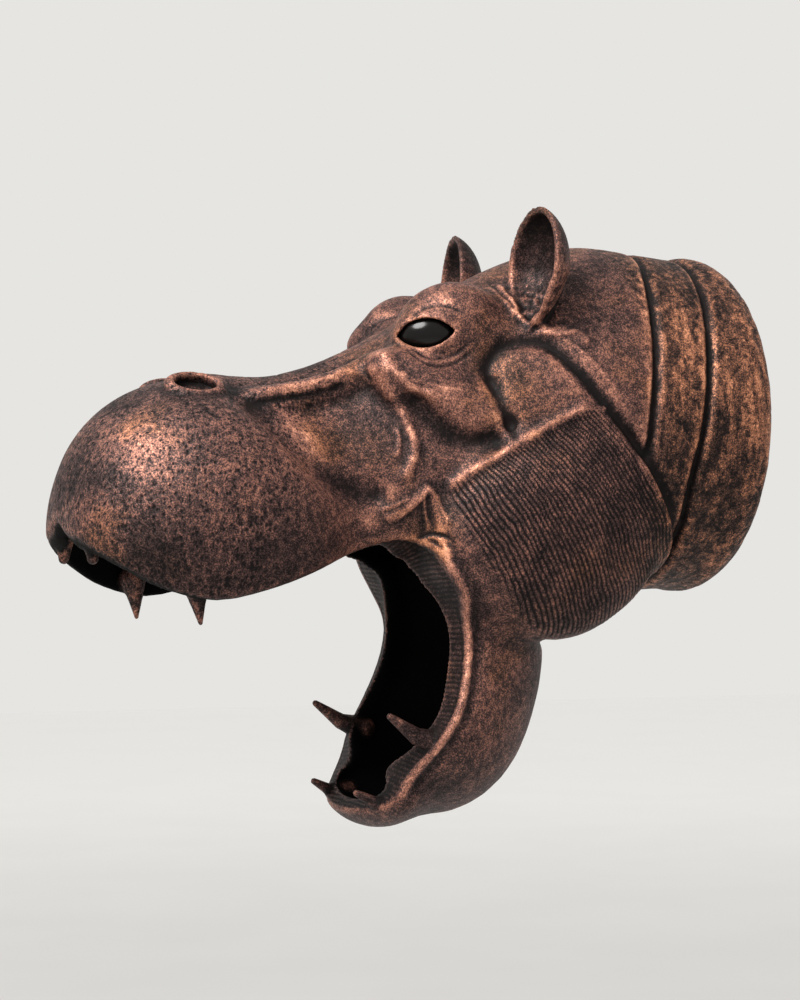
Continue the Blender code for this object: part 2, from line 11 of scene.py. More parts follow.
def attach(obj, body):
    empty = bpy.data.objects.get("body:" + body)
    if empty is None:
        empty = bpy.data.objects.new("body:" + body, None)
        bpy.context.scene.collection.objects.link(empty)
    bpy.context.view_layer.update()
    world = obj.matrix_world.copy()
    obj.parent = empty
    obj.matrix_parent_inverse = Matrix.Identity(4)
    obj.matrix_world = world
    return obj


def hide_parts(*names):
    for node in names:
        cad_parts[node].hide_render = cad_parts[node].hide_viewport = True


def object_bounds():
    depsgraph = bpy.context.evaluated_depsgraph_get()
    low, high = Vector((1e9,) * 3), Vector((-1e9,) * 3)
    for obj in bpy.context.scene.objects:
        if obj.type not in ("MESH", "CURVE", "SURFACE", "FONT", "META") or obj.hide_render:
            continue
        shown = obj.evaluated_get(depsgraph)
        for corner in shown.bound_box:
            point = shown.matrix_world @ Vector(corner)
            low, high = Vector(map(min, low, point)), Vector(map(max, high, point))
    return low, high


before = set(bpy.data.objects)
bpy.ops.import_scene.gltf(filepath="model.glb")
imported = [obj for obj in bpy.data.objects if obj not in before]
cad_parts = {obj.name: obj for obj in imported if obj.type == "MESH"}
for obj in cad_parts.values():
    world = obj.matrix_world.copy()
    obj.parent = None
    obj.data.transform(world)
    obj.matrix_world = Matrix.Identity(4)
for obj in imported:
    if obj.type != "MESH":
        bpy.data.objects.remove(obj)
cad_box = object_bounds()

# Driving dimensions
WALL = 0.012
THINNEST = 0.009
BACK_WALL = 0.010
PAST_WALL = 0.006
LIP_ROUNDING = 0.006
CAVITY_ROUNDING = 0.003
UPPER_LIP_END = (-0.354, -0.318)
GUM = 0.009
GUM_WIDTH = (0.004, 0.030)
GUM_SLOPE = 0.35
GUM_SLOPE_WIDTH = (0.004, 0.018)
WEB_CENTRE = (-0.320, -0.110)
WEB_RADIUS = 0.028
WEB_SLOPE = 2.0
LIP_NOTCH_RISE = 0.012
LIP_NOTCH_HALF = 0.020
LIP_NOTCH_START = (-0.530, -0.575)
EYE_CENTRE = (0.063, -0.2945, 0.068)
EYE_RADII = (0.019, 0.026, 0.019)
EYE_TILT = 4
EYE_YAW = 30
EYE_OPENING = (0.0250, 0.0125)
EYE_OPENING_ROUNDING = 0.002
LID = 0.0040
LID_FILLET = 0.008
EAR_CENTRE = (0.093, -0.219, 0.126)
EAR_TURN = (-4, -8, 6)
EAR_RADII = (0.0405, 0.0385, 0.054)
EAR_WALL = 0.0054
EAR_RIM = 0.008
EAR_TAPER = 6.0
EAR_ROUNDING = 0.002
EAR_FILLET = 0.006
NOSTRIL_CENTRE = (0.045, -0.494, 0.0185)
NOSTRIL_TURN = (-4, 8, 36)
NOSTRIL_RADII = (0.0135, 0.0195)
NOSTRIL_RIM = 0.0055
NOSTRIL_RIM_HEIGHT = 0.0015
NOSTRIL_RIM_FILLET = 0.006
NOSTRIL_DISH_EDGE = 0.002
NOSTRIL_DISH_DEPTH = 0.0025
NOSTRIL_DISH_ROUNDING = 0.004
MUZZLE_FILLET = 0.030
JAW_FILLET = 0.014
BRIDGE_EDGE_RADIUS = 0.011
BRIDGE_EDGE_FILLET = 0.012
TOOTH_FILLET = 0.003
GRID_STEP = 0.003
GRID_LOW = (-0.180, -0.625, -0.372)
GRID_HIGH = (0.180, 0.009, 0.192)
FILLED = -0.0004
BLOCK = 4
NEAR_BLOCKS = 2.2
PATH_PIECES = 3
TAPER_REACH = 1.2

# Sections of the trunk, from wall to bridge of the nose: position along Y, top, underside, half width, and
# how much narrower the top is than the underside.
TRUNK = (
    (0.012, 0.106, -0.106, 0.106, 0.00),
    (0.000, 0.126, -0.126, 0.126, 0.00),
    (-0.008, 0.142, -0.141, 0.142, 0.00),
    (-0.018, 0.150, -0.149, 0.148, 0.00),
    (-0.045, 0.150, -0.149, 0.148, 0.01),
    (-0.085, 0.154, -0.150, 0.144, 0.03),
    (-0.135, 0.157, -0.150, 0.138, 0.06),
    (-0.185, 0.146, -0.146, 0.130, 0.10),
    (-0.225, 0.129, -0.140, 0.120, 0.13),
    (-0.275, 0.099, -0.152, 0.106, 0.12),
    (-0.325, 0.070, -0.172, 0.094, 0.12),
    (-0.375, 0.046, -0.180, 0.083, 0.12),
    (-0.425, 0.032, -0.180, 0.078, 0.10),
    (-0.485, 0.024, -0.180, 0.074, 0.06),
)

# Rounded masses: centre, radii, tilt and yaw in degrees, and the fillet where each joins the one before it
MUZZLE = (
    ((0.000, -0.488, -0.081), (0.113, 0.113, 0.110), 8, 0, 0.000),
    ((0.052, -0.482, -0.104), (0.078, 0.113, 0.106), 5, 4, 0.020),
)
JAW = (
    ((0.000, -0.261, -0.209), (0.100, 0.0895, 0.127), -6, 0, 0.000),
    ((0.000, -0.288, -0.2605), (0.112, 0.0815, 0.0755), -24, 0, 0.030),
    ((0.000, -0.324, -0.318), (0.084, 0.034, 0.034), -10, 0, 0.026),
)
FACE = (
    ((0.053, -0.272, 0.072), (0.036, 0.048, 0.042), 25, 22, 0.020),
    ((0.072, -0.287, 0.010), (0.032, 0.072, 0.028), -32, 8, 0.024),
)
CHEEK_MASS = (
    ((0.080, -0.192, -0.090), (0.066, 0.120, 0.096), 30, 0, 0.012),
)

# Edge between the flat top of the bridge and its side, from the nostril back to the brow
BRIDGE_EDGE = (
    (0.046, -0.474, 0.002),
    (0.050, -0.438, 0.010),
    (0.050, -0.405, 0.016),
    (0.050, -0.375, 0.025),
    (0.049, -0.345, 0.037),
)

# Teeth on the left side: points from root to tip, and the radii there
TEETH = (
    (((0.100, -0.509, -0.140), (0.100, -0.507, -0.154), (0.102, -0.505, -0.173)), 0.0125, 0.0018),
    (((0.048, -0.580, -0.092), (0.050, -0.581, -0.107), (0.053, -0.581, -0.122)), 0.0110, 0.0045),
    (((0.094, -0.296, -0.276), (0.094, -0.317, -0.269), (0.095, -0.341, -0.252)), 0.0115, 0.0028),
    (((0.062, -0.322, -0.327), (0.059, -0.341, -0.326), (0.055, -0.356, -0.318)), 0.0075, 0.0028),
)

# Side view of the mouth's opening, as (Y, Z) points round it: along the upper lip, round the corner, down
# the rim of the lower jaw, and back outside the head.
MOUTH = (
    (-0.745, -0.070),
    (-0.650, -0.084),
    (-0.604, -0.101),
    (-0.584, -0.117),
    (-0.560, -0.133),
    (-0.535, -0.146),
    (-0.495, -0.155),
    (-0.450, -0.146),
    (-0.405, -0.131),
    (-0.368, -0.117),
    (-0.332, -0.107),
    (-0.307, -0.113),
    (-0.295, -0.132),
    (-0.282, -0.156),
    (-0.2755, -0.186),
    (-0.279, -0.216),
    (-0.290, -0.248),
    (-0.307, -0.277),
    (-0.322, -0.301),
    (-0.338, -0.325),
    (-0.370, -0.342),
    (-0.445, -0.372),
    (-0.745, -0.420),
)


def smooth_step(low, high, value):
    t = np.clip((value - low) / (high - low), 0.0, 1.0)
    return t * t * (3.0 - 2.0 * t)


def join(a, b, fillet):
    """Union of two fields with a fillet of about that radius between them."""
    h = np.clip(0.5 + 0.5 * (b - a) / fillet, 0.0, 1.0)
    return b + (a - b) * h - fillet * h * (1.0 - h)


def cut(a, b, rounding):
    """Field a without field b, with a rounded edge."""
    return -join(-a, b, rounding)


def turned(p, centre, tilt=0.0, yaw=0.0, roll=0.0):
    """Coordinates about a centre.

    Positive tilt lowers the front, yaw turns it inwards, and roll leans the top outwards.
    """
    x, y, z = p[0] - centre[0], p[1] - centre[1], p[2] - centre[2]
    c, s = math.cos(math.radians(yaw)), math.sin(math.radians(yaw))
    x, y = x * c - y * s, x * s + y * c
    c, s = math.cos(math.radians(tilt)), math.sin(math.radians(tilt))
    y, z = y * c + z * s, z * c - y * s
    c, s = math.cos(math.radians(roll)), math.sin(math.radians(roll))
    x, z = x * c - z * s, z * c + x * s
    return x, y, z


def ellipsoid(p, centre, radii, tilt=0.0, yaw=0.0):
    x, y, z = turned(p, centre, tilt, yaw)
    rx, ry, rz = radii
    k0 = np.sqrt((x / rx) ** 2 + (y / ry) ** 2 + (z / rz) ** 2)
    k1 = np.sqrt((x / rx**2) ** 2 + (y / ry**2) ** 2 + (z / rz**2) ** 2)
    return k0 * (k0 - 1.0) / np.maximum(k1, 1e-9)


def spike(p, points, r_base, r_tip):
    """A round-ended tapering spike bent through its points."""
    pts = [np.array(q, float) for q in points]
    parts = len(pts) - 1
    d = None
    for k in range(parts):
        a, axis = pts[k], pts[k + 1] - pts[k]
        q = [p[i] - a[i] for i in range(3)]
        t = np.clip(sum(q[i] * axis[i] for i in range(3)) / (axis @ axis), 0.0, 1.0)
        gap = np.sqrt(sum((q[i] - t * axis[i]) ** 2 for i in range(3)))
        gap = gap - (r_base + (r_tip - r_base) * (k + t) / parts)
        d = gap if d is None else np.minimum(d, gap)
    return d


def spline(stations, at):
    """Smooth curve through rows of (position, value, value, ...), read at the positions given."""
    rows = np.array(sorted(stations))
    x, v = rows[:, 0], rows[:, 1:]
    slope = np.gradient(v, x, axis=0)
    i = np.clip(np.searchsorted(x, at) - 1, 0, len(x) - 2)
    h = x[i + 1] - x[i]
    t = np.clip((at - x[i]) / h, 0.0, 1.0)
    out = []
    for k in range(v.shape[1]):
        a, b = v[i, k], v[i + 1, k]
        m, n = slope[i, k] * h, slope[i + 1, k] * h
        rise = (3.0 - 2.0 * t) * t**2
        out.append(a + (b - a) * rise + (t**3 - 2 * t**2 + t) * m + (t**3 - t**2) * n)
    return out


def smooth_path(points, closed=False):
    """A smooth polyline through the points."""
    pts = np.array(points, float)
    n = len(pts)
    out = []
    for i in range(n if closed else n - 1):
        if closed:
            a, b, c, d = (pts[(i + k) % n] for k in (-1, 0, 1, 2))
        else:
            b, c = pts[i], pts[i + 1]
            a = pts[i - 1] if i else 2 * b - c
            d = pts[i + 2] if i + 2 < n else 2 * c - b
        for t in np.arange(PATH_PIECES) / PATH_PIECES:
            bend = (2 * a - 5 * b + 4 * c - d) * t**2 + (3 * b - a - 3 * c + d) * t**3
            out.append(0.5 * (2 * b + (c - a) * t + bend))
    if not closed:
        out.append(pts[-1])
    return np.array(out)


def outline_field(y, z, points):
    """Signed distance in the side view to a closed smooth outline, negative inside."""
    path = smooth_path(points, closed=True)
    best = np.full(y.shape, 1e9)
    inside = np.zeros(y.shape, bool)
    for (ay, az), (by, bz) in zip(path, np.roll(path, -1, axis=0)):
        ey, ez = by - ay, bz - az
        wy, wz = y - ay, z - az
        t = np.clip((wy * ey + wz * ez) / (ey * ey + ez * ez), 0.0, 1.0)
        best = np.minimum(best, (wy - ey * t) ** 2 + (wz - ez * t) ** 2)
        straddles = (az > z) != (bz > z)
        side = wy * ez - wz * ey
        inside ^= straddles & ((side < 0) == (ez > 0))
    return np.sqrt(best) * np.where(inside, -1.0, 1.0)


def trunk(p, shrink=0.0):
    """Neck, cranium and bridge of the nose, as a loft of rounded sections along Y."""
    x, y, z = p
    top, under, half, taper = spline(TRUNK, y)
    middle, height = (top + under) / 2, (top - under) / 2 - shrink
    half = half - shrink
    v = (z - middle) / height
    width = half * (1.0 - taper * np.clip(v, -TAPER_REACH, TAPER_REACH))
    q = np.sqrt((x / width) ** 2 + v**2)
    reach = np.sqrt(x**2 + (z - middle) ** 2)
    d = reach * (1.0 - 1.0 / np.maximum(q, 1e-6))
    return np.maximum(d, TRUNK[-1][0] - y)


def add_masses(p, form, rows):
    """The form, or nothing, with the rounded masses joined to it one by one."""
    for centre, radii, tilt, yaw, fillet in rows:
        mass = ellipsoid(p, centre, radii, tilt, yaw)
        form = mass if form is None else join(form, mass, fillet)
    return form


def outer(p):
    """The closed outer form, before the mouth is cut."""
    d = join(trunk(p), add_masses(p, None, MUZZLE), MUZZLE_FILLET)
    d = add_masses(p, d, FACE)
    edge = spike(p, BRIDGE_EDGE, BRIDGE_EDGE_RADIUS, BRIDGE_EDGE_RADIUS)
    d = join(d, edge, BRIDGE_EDGE_FILLET)
    d = add_masses(p, d, CHEEK_MASS)
    return join(d, add_masses(p, None, JAW), JAW_FILLET)


def behind_lips(y):
    """One along the lower jaw and round the corners of the mouth, nothing along the upper lip."""
    return smooth_step(*UPPER_LIP_END, y)


def mouth(p, depth):
    """Space cut out between the jaws, with a notch in the middle of the upper lip.

    Inside the lip, the lower jaw's rim slopes forward to a gum ridge, and more so at the mouth's corner.
    """
    x, y, z = p
    low, high = GUM_SLOPE_WIDTH
    gum = np.clip(depth - low, 0.0, high - low) * GUM_SLOPE * behind_lips(y)
    web = np.exp(-((y - WEB_CENTRE[0]) ** 2 + (z - WEB_CENTRE[1]) ** 2) / WEB_RADIUS**2)
    notch = LIP_NOTCH_RISE * np.exp(-((x / LIP_NOTCH_HALF) ** 2)) * smooth_step(*LIP_NOTCH_START, y)
    return outline_field(y, z - notch, MOUTH) + gum * (1.0 + WEB_SLOPE * web)


def cavity(p, gap):
    """Hollow inside the casting, narrower behind the gums. The gap is the distance from the mouth."""
    jaws = join(add_masses(p, None, MUZZLE), add_masses(p, None, JAW), MUZZLE_FILLET)
    d = join(trunk(p, WALL), jaws + WALL, MUZZLE_FILLET)
    d = d + GUM * (1.0 - smooth_step(*GUM_WIDTH, gap)) * behind_lips(p[1])
    return np.maximum(d, p[1] + BACK_WALL)


def ear(p):
    """Upright cup, narrower towards its foot, open to the front."""
    x, y, z = turned(p, EAR_CENTRE, *EAR_TURN)
    narrow = 1.0 + EAR_TAPER * np.clip(-z, 0.0, EAR_RADII[2])
    q = (x * narrow, (y - EAR_RIM) * narrow + EAR_RIM, z)
    shell = ellipsoid(q, (0.0, 0.0, 0.0), EAR_RADII)
    scoop = ellipsoid(q, (0.0, 0.0, 0.0), [r - EAR_WALL for r in EAR_RADII])
    return cut(np.maximum(shell, EAR_RIM - q[1]), scoop, EAR_ROUNDING)


def nostril(p):
    """Position about the nostril: outwards from its oval, and up from the skin."""
    x, y, z = turned(p, NOSTRIL_CENTRE, *NOSTRIL_TURN)
    round_it = np.hypot(x / NOSTRIL_RADII[0], y / NOSTRIL_RADII[1])
    return (round_it - 1.0) * sum(NOSTRIL_RADII) / 2, z


def lid_ball(p):
    """The eye grown by the lid's thickness."""
    return ellipsoid(p, EYE_CENTRE, [r + LID for r in EYE_RADII], EYE_TILT, EYE_YAW)


def eye_opening(p):
    """Almond between the lids, cut in from the side."""
    x, y, z = turned(p, EYE_CENTRE, EYE_TILT, EYE_YAW)
    half, rise = EYE_OPENING
    radius = (half**2 + rise**2) / (2 * rise)
    almond = np.maximum(np.hypot(y, z + radius - rise), np.hypot(y, z - radius + rise)) - radius
    return np.maximum(almond, -x)


def teeth(p):
    """All the teeth of the left side."""
    d = None
    for points, root, tip in TEETH:
        tooth = spike(p, points, root, tip)
        d = tooth if d is None else np.minimum(d, tooth)
    return d


def face_form(p):
    """The closed outer form with its eyelids, and its nostrils as raised rings round shallow dishes."""
    across, height = nostril(p)
    ring = np.hypot(across, height - NOSTRIL_RIM_HEIGHT) - NOSTRIL_RIM
    dish = np.maximum(across + NOSTRIL_DISH_EDGE, -(height + NOSTRIL_DISH_DEPTH))
    form = cut(join(outer(p), ring, NOSTRIL_RIM_FILLET), dish, NOSTRIL_DISH_ROUNDING)
    return join(form, lid_ball(p), LID_FILLET)


def casting(p):
    """The whole hollow head, without the fine modelling."""
    form = face_form(p)
    d = join(form, ear(p), EAR_FILLET)
    opening = mouth(p, -form)
    d = cut(d, opening, LIP_ROUNDING)
    d = cut(d, np.maximum(cavity(p, opening), form + THINNEST), CAVITY_ROUNDING)
    d = join(d, teeth(p), TOOTH_FILLET)
    d = cut(d, eye_opening(p), EYE_OPENING_ROUNDING)
    return np.maximum(d, p[1] - PAST_WALL)


# Creases and folds pressed into the skin. Each has a path of (Y, Z) points in the side view, how far it
# sinks (a ridge rises, so its number is negative), and its width. Each fades over a share of its length.
CREASE_ENDS = 0.12
NECK_CREASE_FRONT = ((-0.084, 0.190), (-0.086, 0.150), (-0.098, 0.123), (-0.106, 0.092), (-0.114, 0.042),
                     (-0.121, -0.009), (-0.124, -0.047))
NECK_CREASE_BACK = ((-0.040, 0.190), (-0.041, 0.150), (-0.050, 0.116), (-0.060, 0.074), (-0.067, 0.030),
                    (-0.075, -0.020), (-0.081, -0.060), (-0.079, -0.102), (-0.074, -0.190))
TEMPLE = ((-0.246, 0.005), (-0.254, 0.036), (-0.244, 0.054), (-0.228, 0.062), (-0.206, 0.060),
          (-0.185, 0.040), (-0.164, 0.011), (-0.140, -0.024), (-0.124, -0.047))
TEMPLE_FRONT = ((-0.254, 0.036), (-0.247, 0.008), (-0.238, -0.014))
CHEEKBONE_HOLLOW = ((-0.330, 0.020), (-0.301, -0.010), (-0.278, -0.024), (-0.243, -0.018))
UNDER_EYE_FOLD = ((-0.342, 0.054), (-0.335, 0.036), (-0.322, 0.020), (-0.300, 0.012))
CHEEK_FOLD = ((-0.346, 0.046), (-0.342, 0.036), (-0.338, 0.025), (-0.331, 0.010), (-0.323, -0.008),
              (-0.319, -0.022), (-0.319, -0.036), (-0.325, -0.050), (-0.330, -0.060))
MUZZLE_FOLD = ((-0.472, 0.027), (-0.458, 0.013), (-0.441, -0.006), (-0.425, -0.025), (-0.407, -0.043),
               (-0.384, -0.058), (-0.356, -0.068), (-0.335, -0.068))
CORNER_FOLD_FRONT = ((-0.306, -0.060), (-0.316, -0.071), (-0.330, -0.082), (-0.345, -0.091))
CORNER_FOLD_BACK = ((-0.307, -0.061), (-0.303, -0.076), (-0.299, -0.090), (-0.299, -0.103))
CHEEK_RIDGE = ((-0.296, -0.066), (-0.273, -0.048), (-0.234, -0.024), (-0.199, -0.005), (-0.172, 0.009))
BROW_FOLD = ((-0.208, 0.072), (-0.186, 0.070), (-0.168, 0.060))
CREASES = (
    (NECK_CREASE_FRONT, 0.0050, 0.0038),
    (NECK_CREASE_BACK, 0.0050, 0.0038),
    (TEMPLE, 0.0050, 0.0070),
    (TEMPLE_FRONT, 0.0030, 0.0060),
    (CHEEKBONE_HOLLOW, 0.0080, 0.0110),
    (UNDER_EYE_FOLD, -0.0030, 0.0050),
    (CHEEK_FOLD, -0.0030, 0.0042),
    (MUZZLE_FOLD, 0.0060, 0.0120),
    (CORNER_FOLD_FRONT, -0.0022, 0.0042),
    (CORNER_FOLD_BACK, -0.0024, 0.0040),
    (CHEEK_RIDGE, -0.0030, 0.0050),
    (BROW_FOLD, -0.0020, 0.0050),
)

# The bead along the lower lip, with a hollow behind it: height, then each one's distance from the mouth and
# its width
LIP_BEAD = (0.0026, 0.004, 0.0028)
LIP_HOLLOW = (-0.0013, 0.011, 0.0045)

# The ribbed cheek lies over the jaw and the neck as a flap, with its edge standing up behind and below.
FLAP_RISE = 0.0055
FLAP_FADE = 0.035
FLAP_EDGE = (0.0015, -0.0025)
FLAP_TROUGH = (-0.0030, 0.004, 0.005)
FLAP_FREE = (-0.225, -0.150)
FLAP_FREE_BELOW = (-0.225, -0.165)
FLAP_SLANT = 0.9
FLAP_LEVEL = -0.060
LOWER_LIP_Y = (-0.340, -0.310)
LOWER_LIP_Z = (-0.102, -0.112)
CHEEK = (
    (-0.296, -0.066),
    (-0.273, -0.048),
    (-0.234, -0.024),
    (-0.199, -0.005),
    (-0.168, 0.008),
    (-0.144, -0.018),
    (-0.122, -0.047),
    (-0.103, -0.076),
    (-0.088, -0.102),
    (-0.084, -0.130),
    (-0.104, -0.158),
    (-0.150, -0.182),
    (-0.206, -0.190),
    (-0.244, -0.160),
    (-0.278, -0.110),
)


def path_distance(y, z, points):
    """Distance in the side view to a smooth open path, and how far along it the nearest point lies."""
    path = smooth_path(points)
    best = np.full(y.shape, 1e9)
    along = np.zeros(y.shape)
    for k, ((ay, az), (by, bz)) in enumerate(zip(path[:-1], path[1:])):
        ey, ez = by - ay, bz - az
        wy, wz = y - ay, z - az
        t = np.clip((wy * ey + wz * ez) / (ey * ey + ez * ez), 0.0, 1.0)
        gap = (wy - ey * t) ** 2 + (wz - ez * t) ** 2
        nearer = gap < best
        best = np.where(nearer, gap, best)
        along = np.where(nearer, (k + t) / (len(path) - 1), along)
    return np.sqrt(best), along


def near_path(y, z, points, fade):
    """Distance in the side view to a smooth open path, and a factor that fades to nothing at its ends."""
    gap, along = path_distance(y, z, points)
    return gap, smooth_step(0.0, fade, along) * smooth_step(0.0, fade, 1.0 - along)


def swell(distance, height, centre, width):
    """A rounded ridge, or a trough where the height is negative, at that distance from a line."""
    return height * np.exp(-(((distance - centre) / width) ** 2))


def relief(p):
    """How far the skin stands out from the plain form, in metres."""
    y, z = p[1:]
    out = np.zeros(y.shape)
    for points, sink, width in CREASES:
        gap, ends = near_path(y, z, points, CREASE_ENDS)
        out -= swell(gap, sink, 0.0, width) * ends
    beyond = outline_field(y, z, CHEEK)
    below = y - FLAP_SLANT * (z - FLAP_LEVEL)
    free_edge = smooth_step(*FLAP_FREE, y) * smooth_step(*FLAP_FREE_BELOW, below)
    flap = np.where(beyond < 0.0, FLAP_RISE * np.exp(beyond / FLAP_FADE), 0.0)
    flap = flap * smooth_step(*FLAP_EDGE, beyond) + swell(beyond, *FLAP_TROUGH)
    out += flap * free_edge
    lip = outline_field(y, z, MOUTH)
    lower_lip = smooth_step(*LOWER_LIP_Y, y) * smooth_step(*LOWER_LIP_Z, z)
    out += (swell(lip, *LIP_BEAD) + swell(lip, *LIP_HOLLOW)) * lower_lip
    return out


def mesh_field(field, low, high, step):
    """Meshes the zero level of a field: one point in each cell that the surface crosses."""
    low = np.array(low, float)
    counts = np.ceil((np.array(high) - low) / step).astype(int) + 1
    axes = [low[i] + step * np.arange(counts[i]) for i in range(3)]
    values = sample(field, axes, step)
    fill_touching(values)
    inside = values < 0
    corner = [(i, j, k) for i in (0, 1) for j in (0, 1) for k in (0, 1)]
    shape = counts - 1
    total = np.zeros(shape, np.int8)
    for i, j, k in corner:
        total += inside[i : i + shape[0], j : j + shape[1], k : k + shape[2]]
    cells = np.argwhere((total > 0) & (total < 8))
    index = -np.ones(shape, np.int64)
    index[tuple(cells.T)] = np.arange(len(cells))
    point, hits = np.zeros((len(cells), 3)), np.zeros(len(cells))
    for a in corner:
        for axis in range(3):
            if a[axis]:
                continue
            b = list(a)
            b[axis] = 1
            va = values[tuple((cells + a).T)]
            vb = values[tuple((cells + b).T)]
            cross = (va < 0) != (vb < 0)
            t = va[cross] / (va[cross] - vb[cross])
            start = cells[cross] + np.array(a, float)
            start[:, axis] += t
            point[cross] += start
            hits[cross] += 1
    point = low + step * point / hits[:, None]
    faces = []
    for axis in range(3):
        u, v = (axis + 1) % 3, (axis + 2) % 3
        ahead = [slice(None)] * 3
        ahead[axis] = slice(1, None)
        behind = [slice(None)] * 3
        behind[axis] = slice(None, -1)
        cross = inside[tuple(behind)] != inside[tuple(ahead)]
        edge = np.argwhere(cross)
        edge = edge[(edge[:, u] > 0) & (edge[:, v] > 0) & (edge[:, u] < shape[u]) & (edge[:, v] < shape[v])]
        step_u, step_v = np.eye(3, dtype=int)[u], np.eye(3, dtype=int)[v]
        ring = [edge - step_u - step_v, edge - step_v, edge, edge - step_u]
        quad = np.stack([index[tuple(c.T)] for c in ring], -1)
        outward = inside[tuple(edge.T)]
        faces.append(np.where(outward[:, None], quad, quad[:, ::-1]))
    return point, np.concatenate(faces)


def sample(field, axes, step):
    """Field values on the grid. Blocks of cells that lie far from the surface keep their middle's value."""
    n = [len(a) for a in axes]
    values = np.empty(n, np.float32)
    middle = [a[min(BLOCK // 2, len(a) - 1) :: BLOCK] for a in axes]
    rough = field(np.stack(np.meshgrid(*middle, indexing="ij")).reshape(3, -1))
    rough = rough.reshape([len(m) for m in middle])
    spread = [np.minimum(np.arange(c) // BLOCK, len(m) - 1) for c, m in zip(n, middle)]
    values[:] = rough[np.ix_(*spread)]
    near = np.argwhere(np.abs(values) < NEAR_BLOCKS * BLOCK * step)
    p = np.stack([axes[i][near[:, i]] for i in range(3)])
    values[tuple(near.T)] = field(p)
    return values


def fill_touching(values):
    """Fills grid points where the material would touch itself along an edge or at a corner."""
    filled = True
    while filled:
        filled = False
        for u, v in ((0, 1), (0, 2), (1, 2)):
            a, b, c, d = (shifted(values, {u: i, v: j}) for i, j in ((0, 0), (1, 0), (0, 1), (1, 1)))
            for one, two, three, four in ((a, d, b, c), (b, c, a, d)):
                crossed = (one < 0) & (two < 0) & (three >= 0) & (four >= 0)
                three[crossed] = FILLED
                four[crossed] = FILLED
                filled |= bool(crossed.any())
        eight = [(i, j, k) for i in (0, 1) for j in (0, 1) for k in (0, 1)]
        corners = {corner: shifted(values, dict(enumerate(corner))) for corner in eight}
        count = sum((c < 0).astype(np.int8) for c in corners.values())
        for (i, j, k), near in corners.items():
            far = corners[1 - i, 1 - j, 1 - k]
            pair = (count == 2) & (near < 0) & (far < 0)
            corners[1 - i, j, k][pair] = FILLED
            hole = (count == 6) & (near >= 0) & (far >= 0)
            near[hole] = FILLED
            filled |= bool(pair.any() or hole.any())


def shifted(values, offsets):
    """View of the grid with its first or last layer left off along each axis named."""
    part = [slice(None)] * 3
    for axis, offset in offsets.items():
        part[axis] = slice(1, None) if offset else slice(None, -1)
    return values[tuple(part)]


def folded(p):
    """The places brought over to the left side."""
    return np.stack([np.abs(p[0]), p[1], p[2]])


def mirrored(field):
    """The field made symmetric about X = 0."""
    return lambda p: field(folded(p))


# Triangles of the head's skin once it is thinned
FINE_TRIANGLES = 190000

# Odd numbers that scatter the cells of the noise
SCATTER = (374761393, 668265263, 2147483647)
SEED_SCATTER = 97
SEED_STEP = 7.31
MIXER = 1274126177
HALF_RANGE = 32767.5


def noise(p, size, seed=0):
    """Smooth value noise between -1 and 1, with lumps of about the given size in metres."""
    q = np.asarray(p) / size + 100.0 + seed * SEED_STEP
    cell = np.floor(q).astype(np.int64)
    t = q - cell
    t = t * t * (3.0 - 2.0 * t)
    out = np.zeros(q.shape[1])
    for corner in np.ndindex(2, 2, 2):
        h = sum((cell[axis] + corner[axis]) * SCATTER[axis] for axis in range(3)) + seed * SEED_SCATTER
        h = (h ^ (h >> 13)) * MIXER
        h = (h ^ (h >> 16)) & 0xFFFF
        weight = math.prod(t[axis] if corner[axis] else 1 - t[axis] for axis in range(3))
        out += weight * (h / HALF_RANGE - 1.0)
    return out


def octaves(p, size, count, seed=0):
    """Noise with finer and weaker noise added to it."""
    return sum(noise(p, size / 2**k, seed + k) / 2**k for k in range(count))


def split_edges(points, tris, wanted):
    """Halves every edge whose two ends are wanted, and divides the triangles to match."""
    edges = np.sort(tris[:, [0, 1, 1, 2, 2, 0]].reshape(-1, 2), axis=1)
    pairs, back = np.unique(edges, axis=0, return_inverse=True)
    chosen = wanted[pairs[:, 0]] & wanted[pairs[:, 1]]
    middle = np.full(len(pairs), -1)
    middle[chosen] = len(points) + np.arange(chosen.sum())
    points = np.concatenate([points, points[pairs[chosen]].mean(axis=1)])
    m = middle[back.reshape(-1, 3)]
    count = (m >= 0).sum(axis=1)
    out = [tris[count == 0]]
    for k in range(3):
        a, b, c = (tris[:, (k + i) % 3] for i in range(3))
        ab, bc, ca = (m[:, (k + i) % 3] for i in range(3))
        one = (count == 1) & (ab >= 0)
        out += [np.stack(t, -1)[one] for t in ((a, ab, c), (ab, b, c))]
        two = (count == 2) & (ca < 0)
        out += [np.stack(t, -1)[two] for t in ((ab, b, bc), (a, ab, bc), (a, bc, c))]
    a, b, c = tris[count == 3].T
    ab, bc, ca = m[count == 3].T
    out += [np.stack(t, -1) for t in ((a, ab, ca), (ab, b, bc), (bc, c, ca), (ab, bc, ca))]
    return points, np.concatenate(out)


def tri_normals(points, tris):
    """Area-weighted normals at the points."""
    a, b, c = (points[tris[:, k]] for k in range(3))
    face = np.cross(b - a, c - a)
    totals = [sum(np.bincount(tris[:, k], face[:, i], len(points)) for k in range(3)) for i in range(3)]
    out = np.stack(totals, -1)
    return out / np.maximum(np.linalg.norm(out, axis=1, keepdims=True), 1e-12)


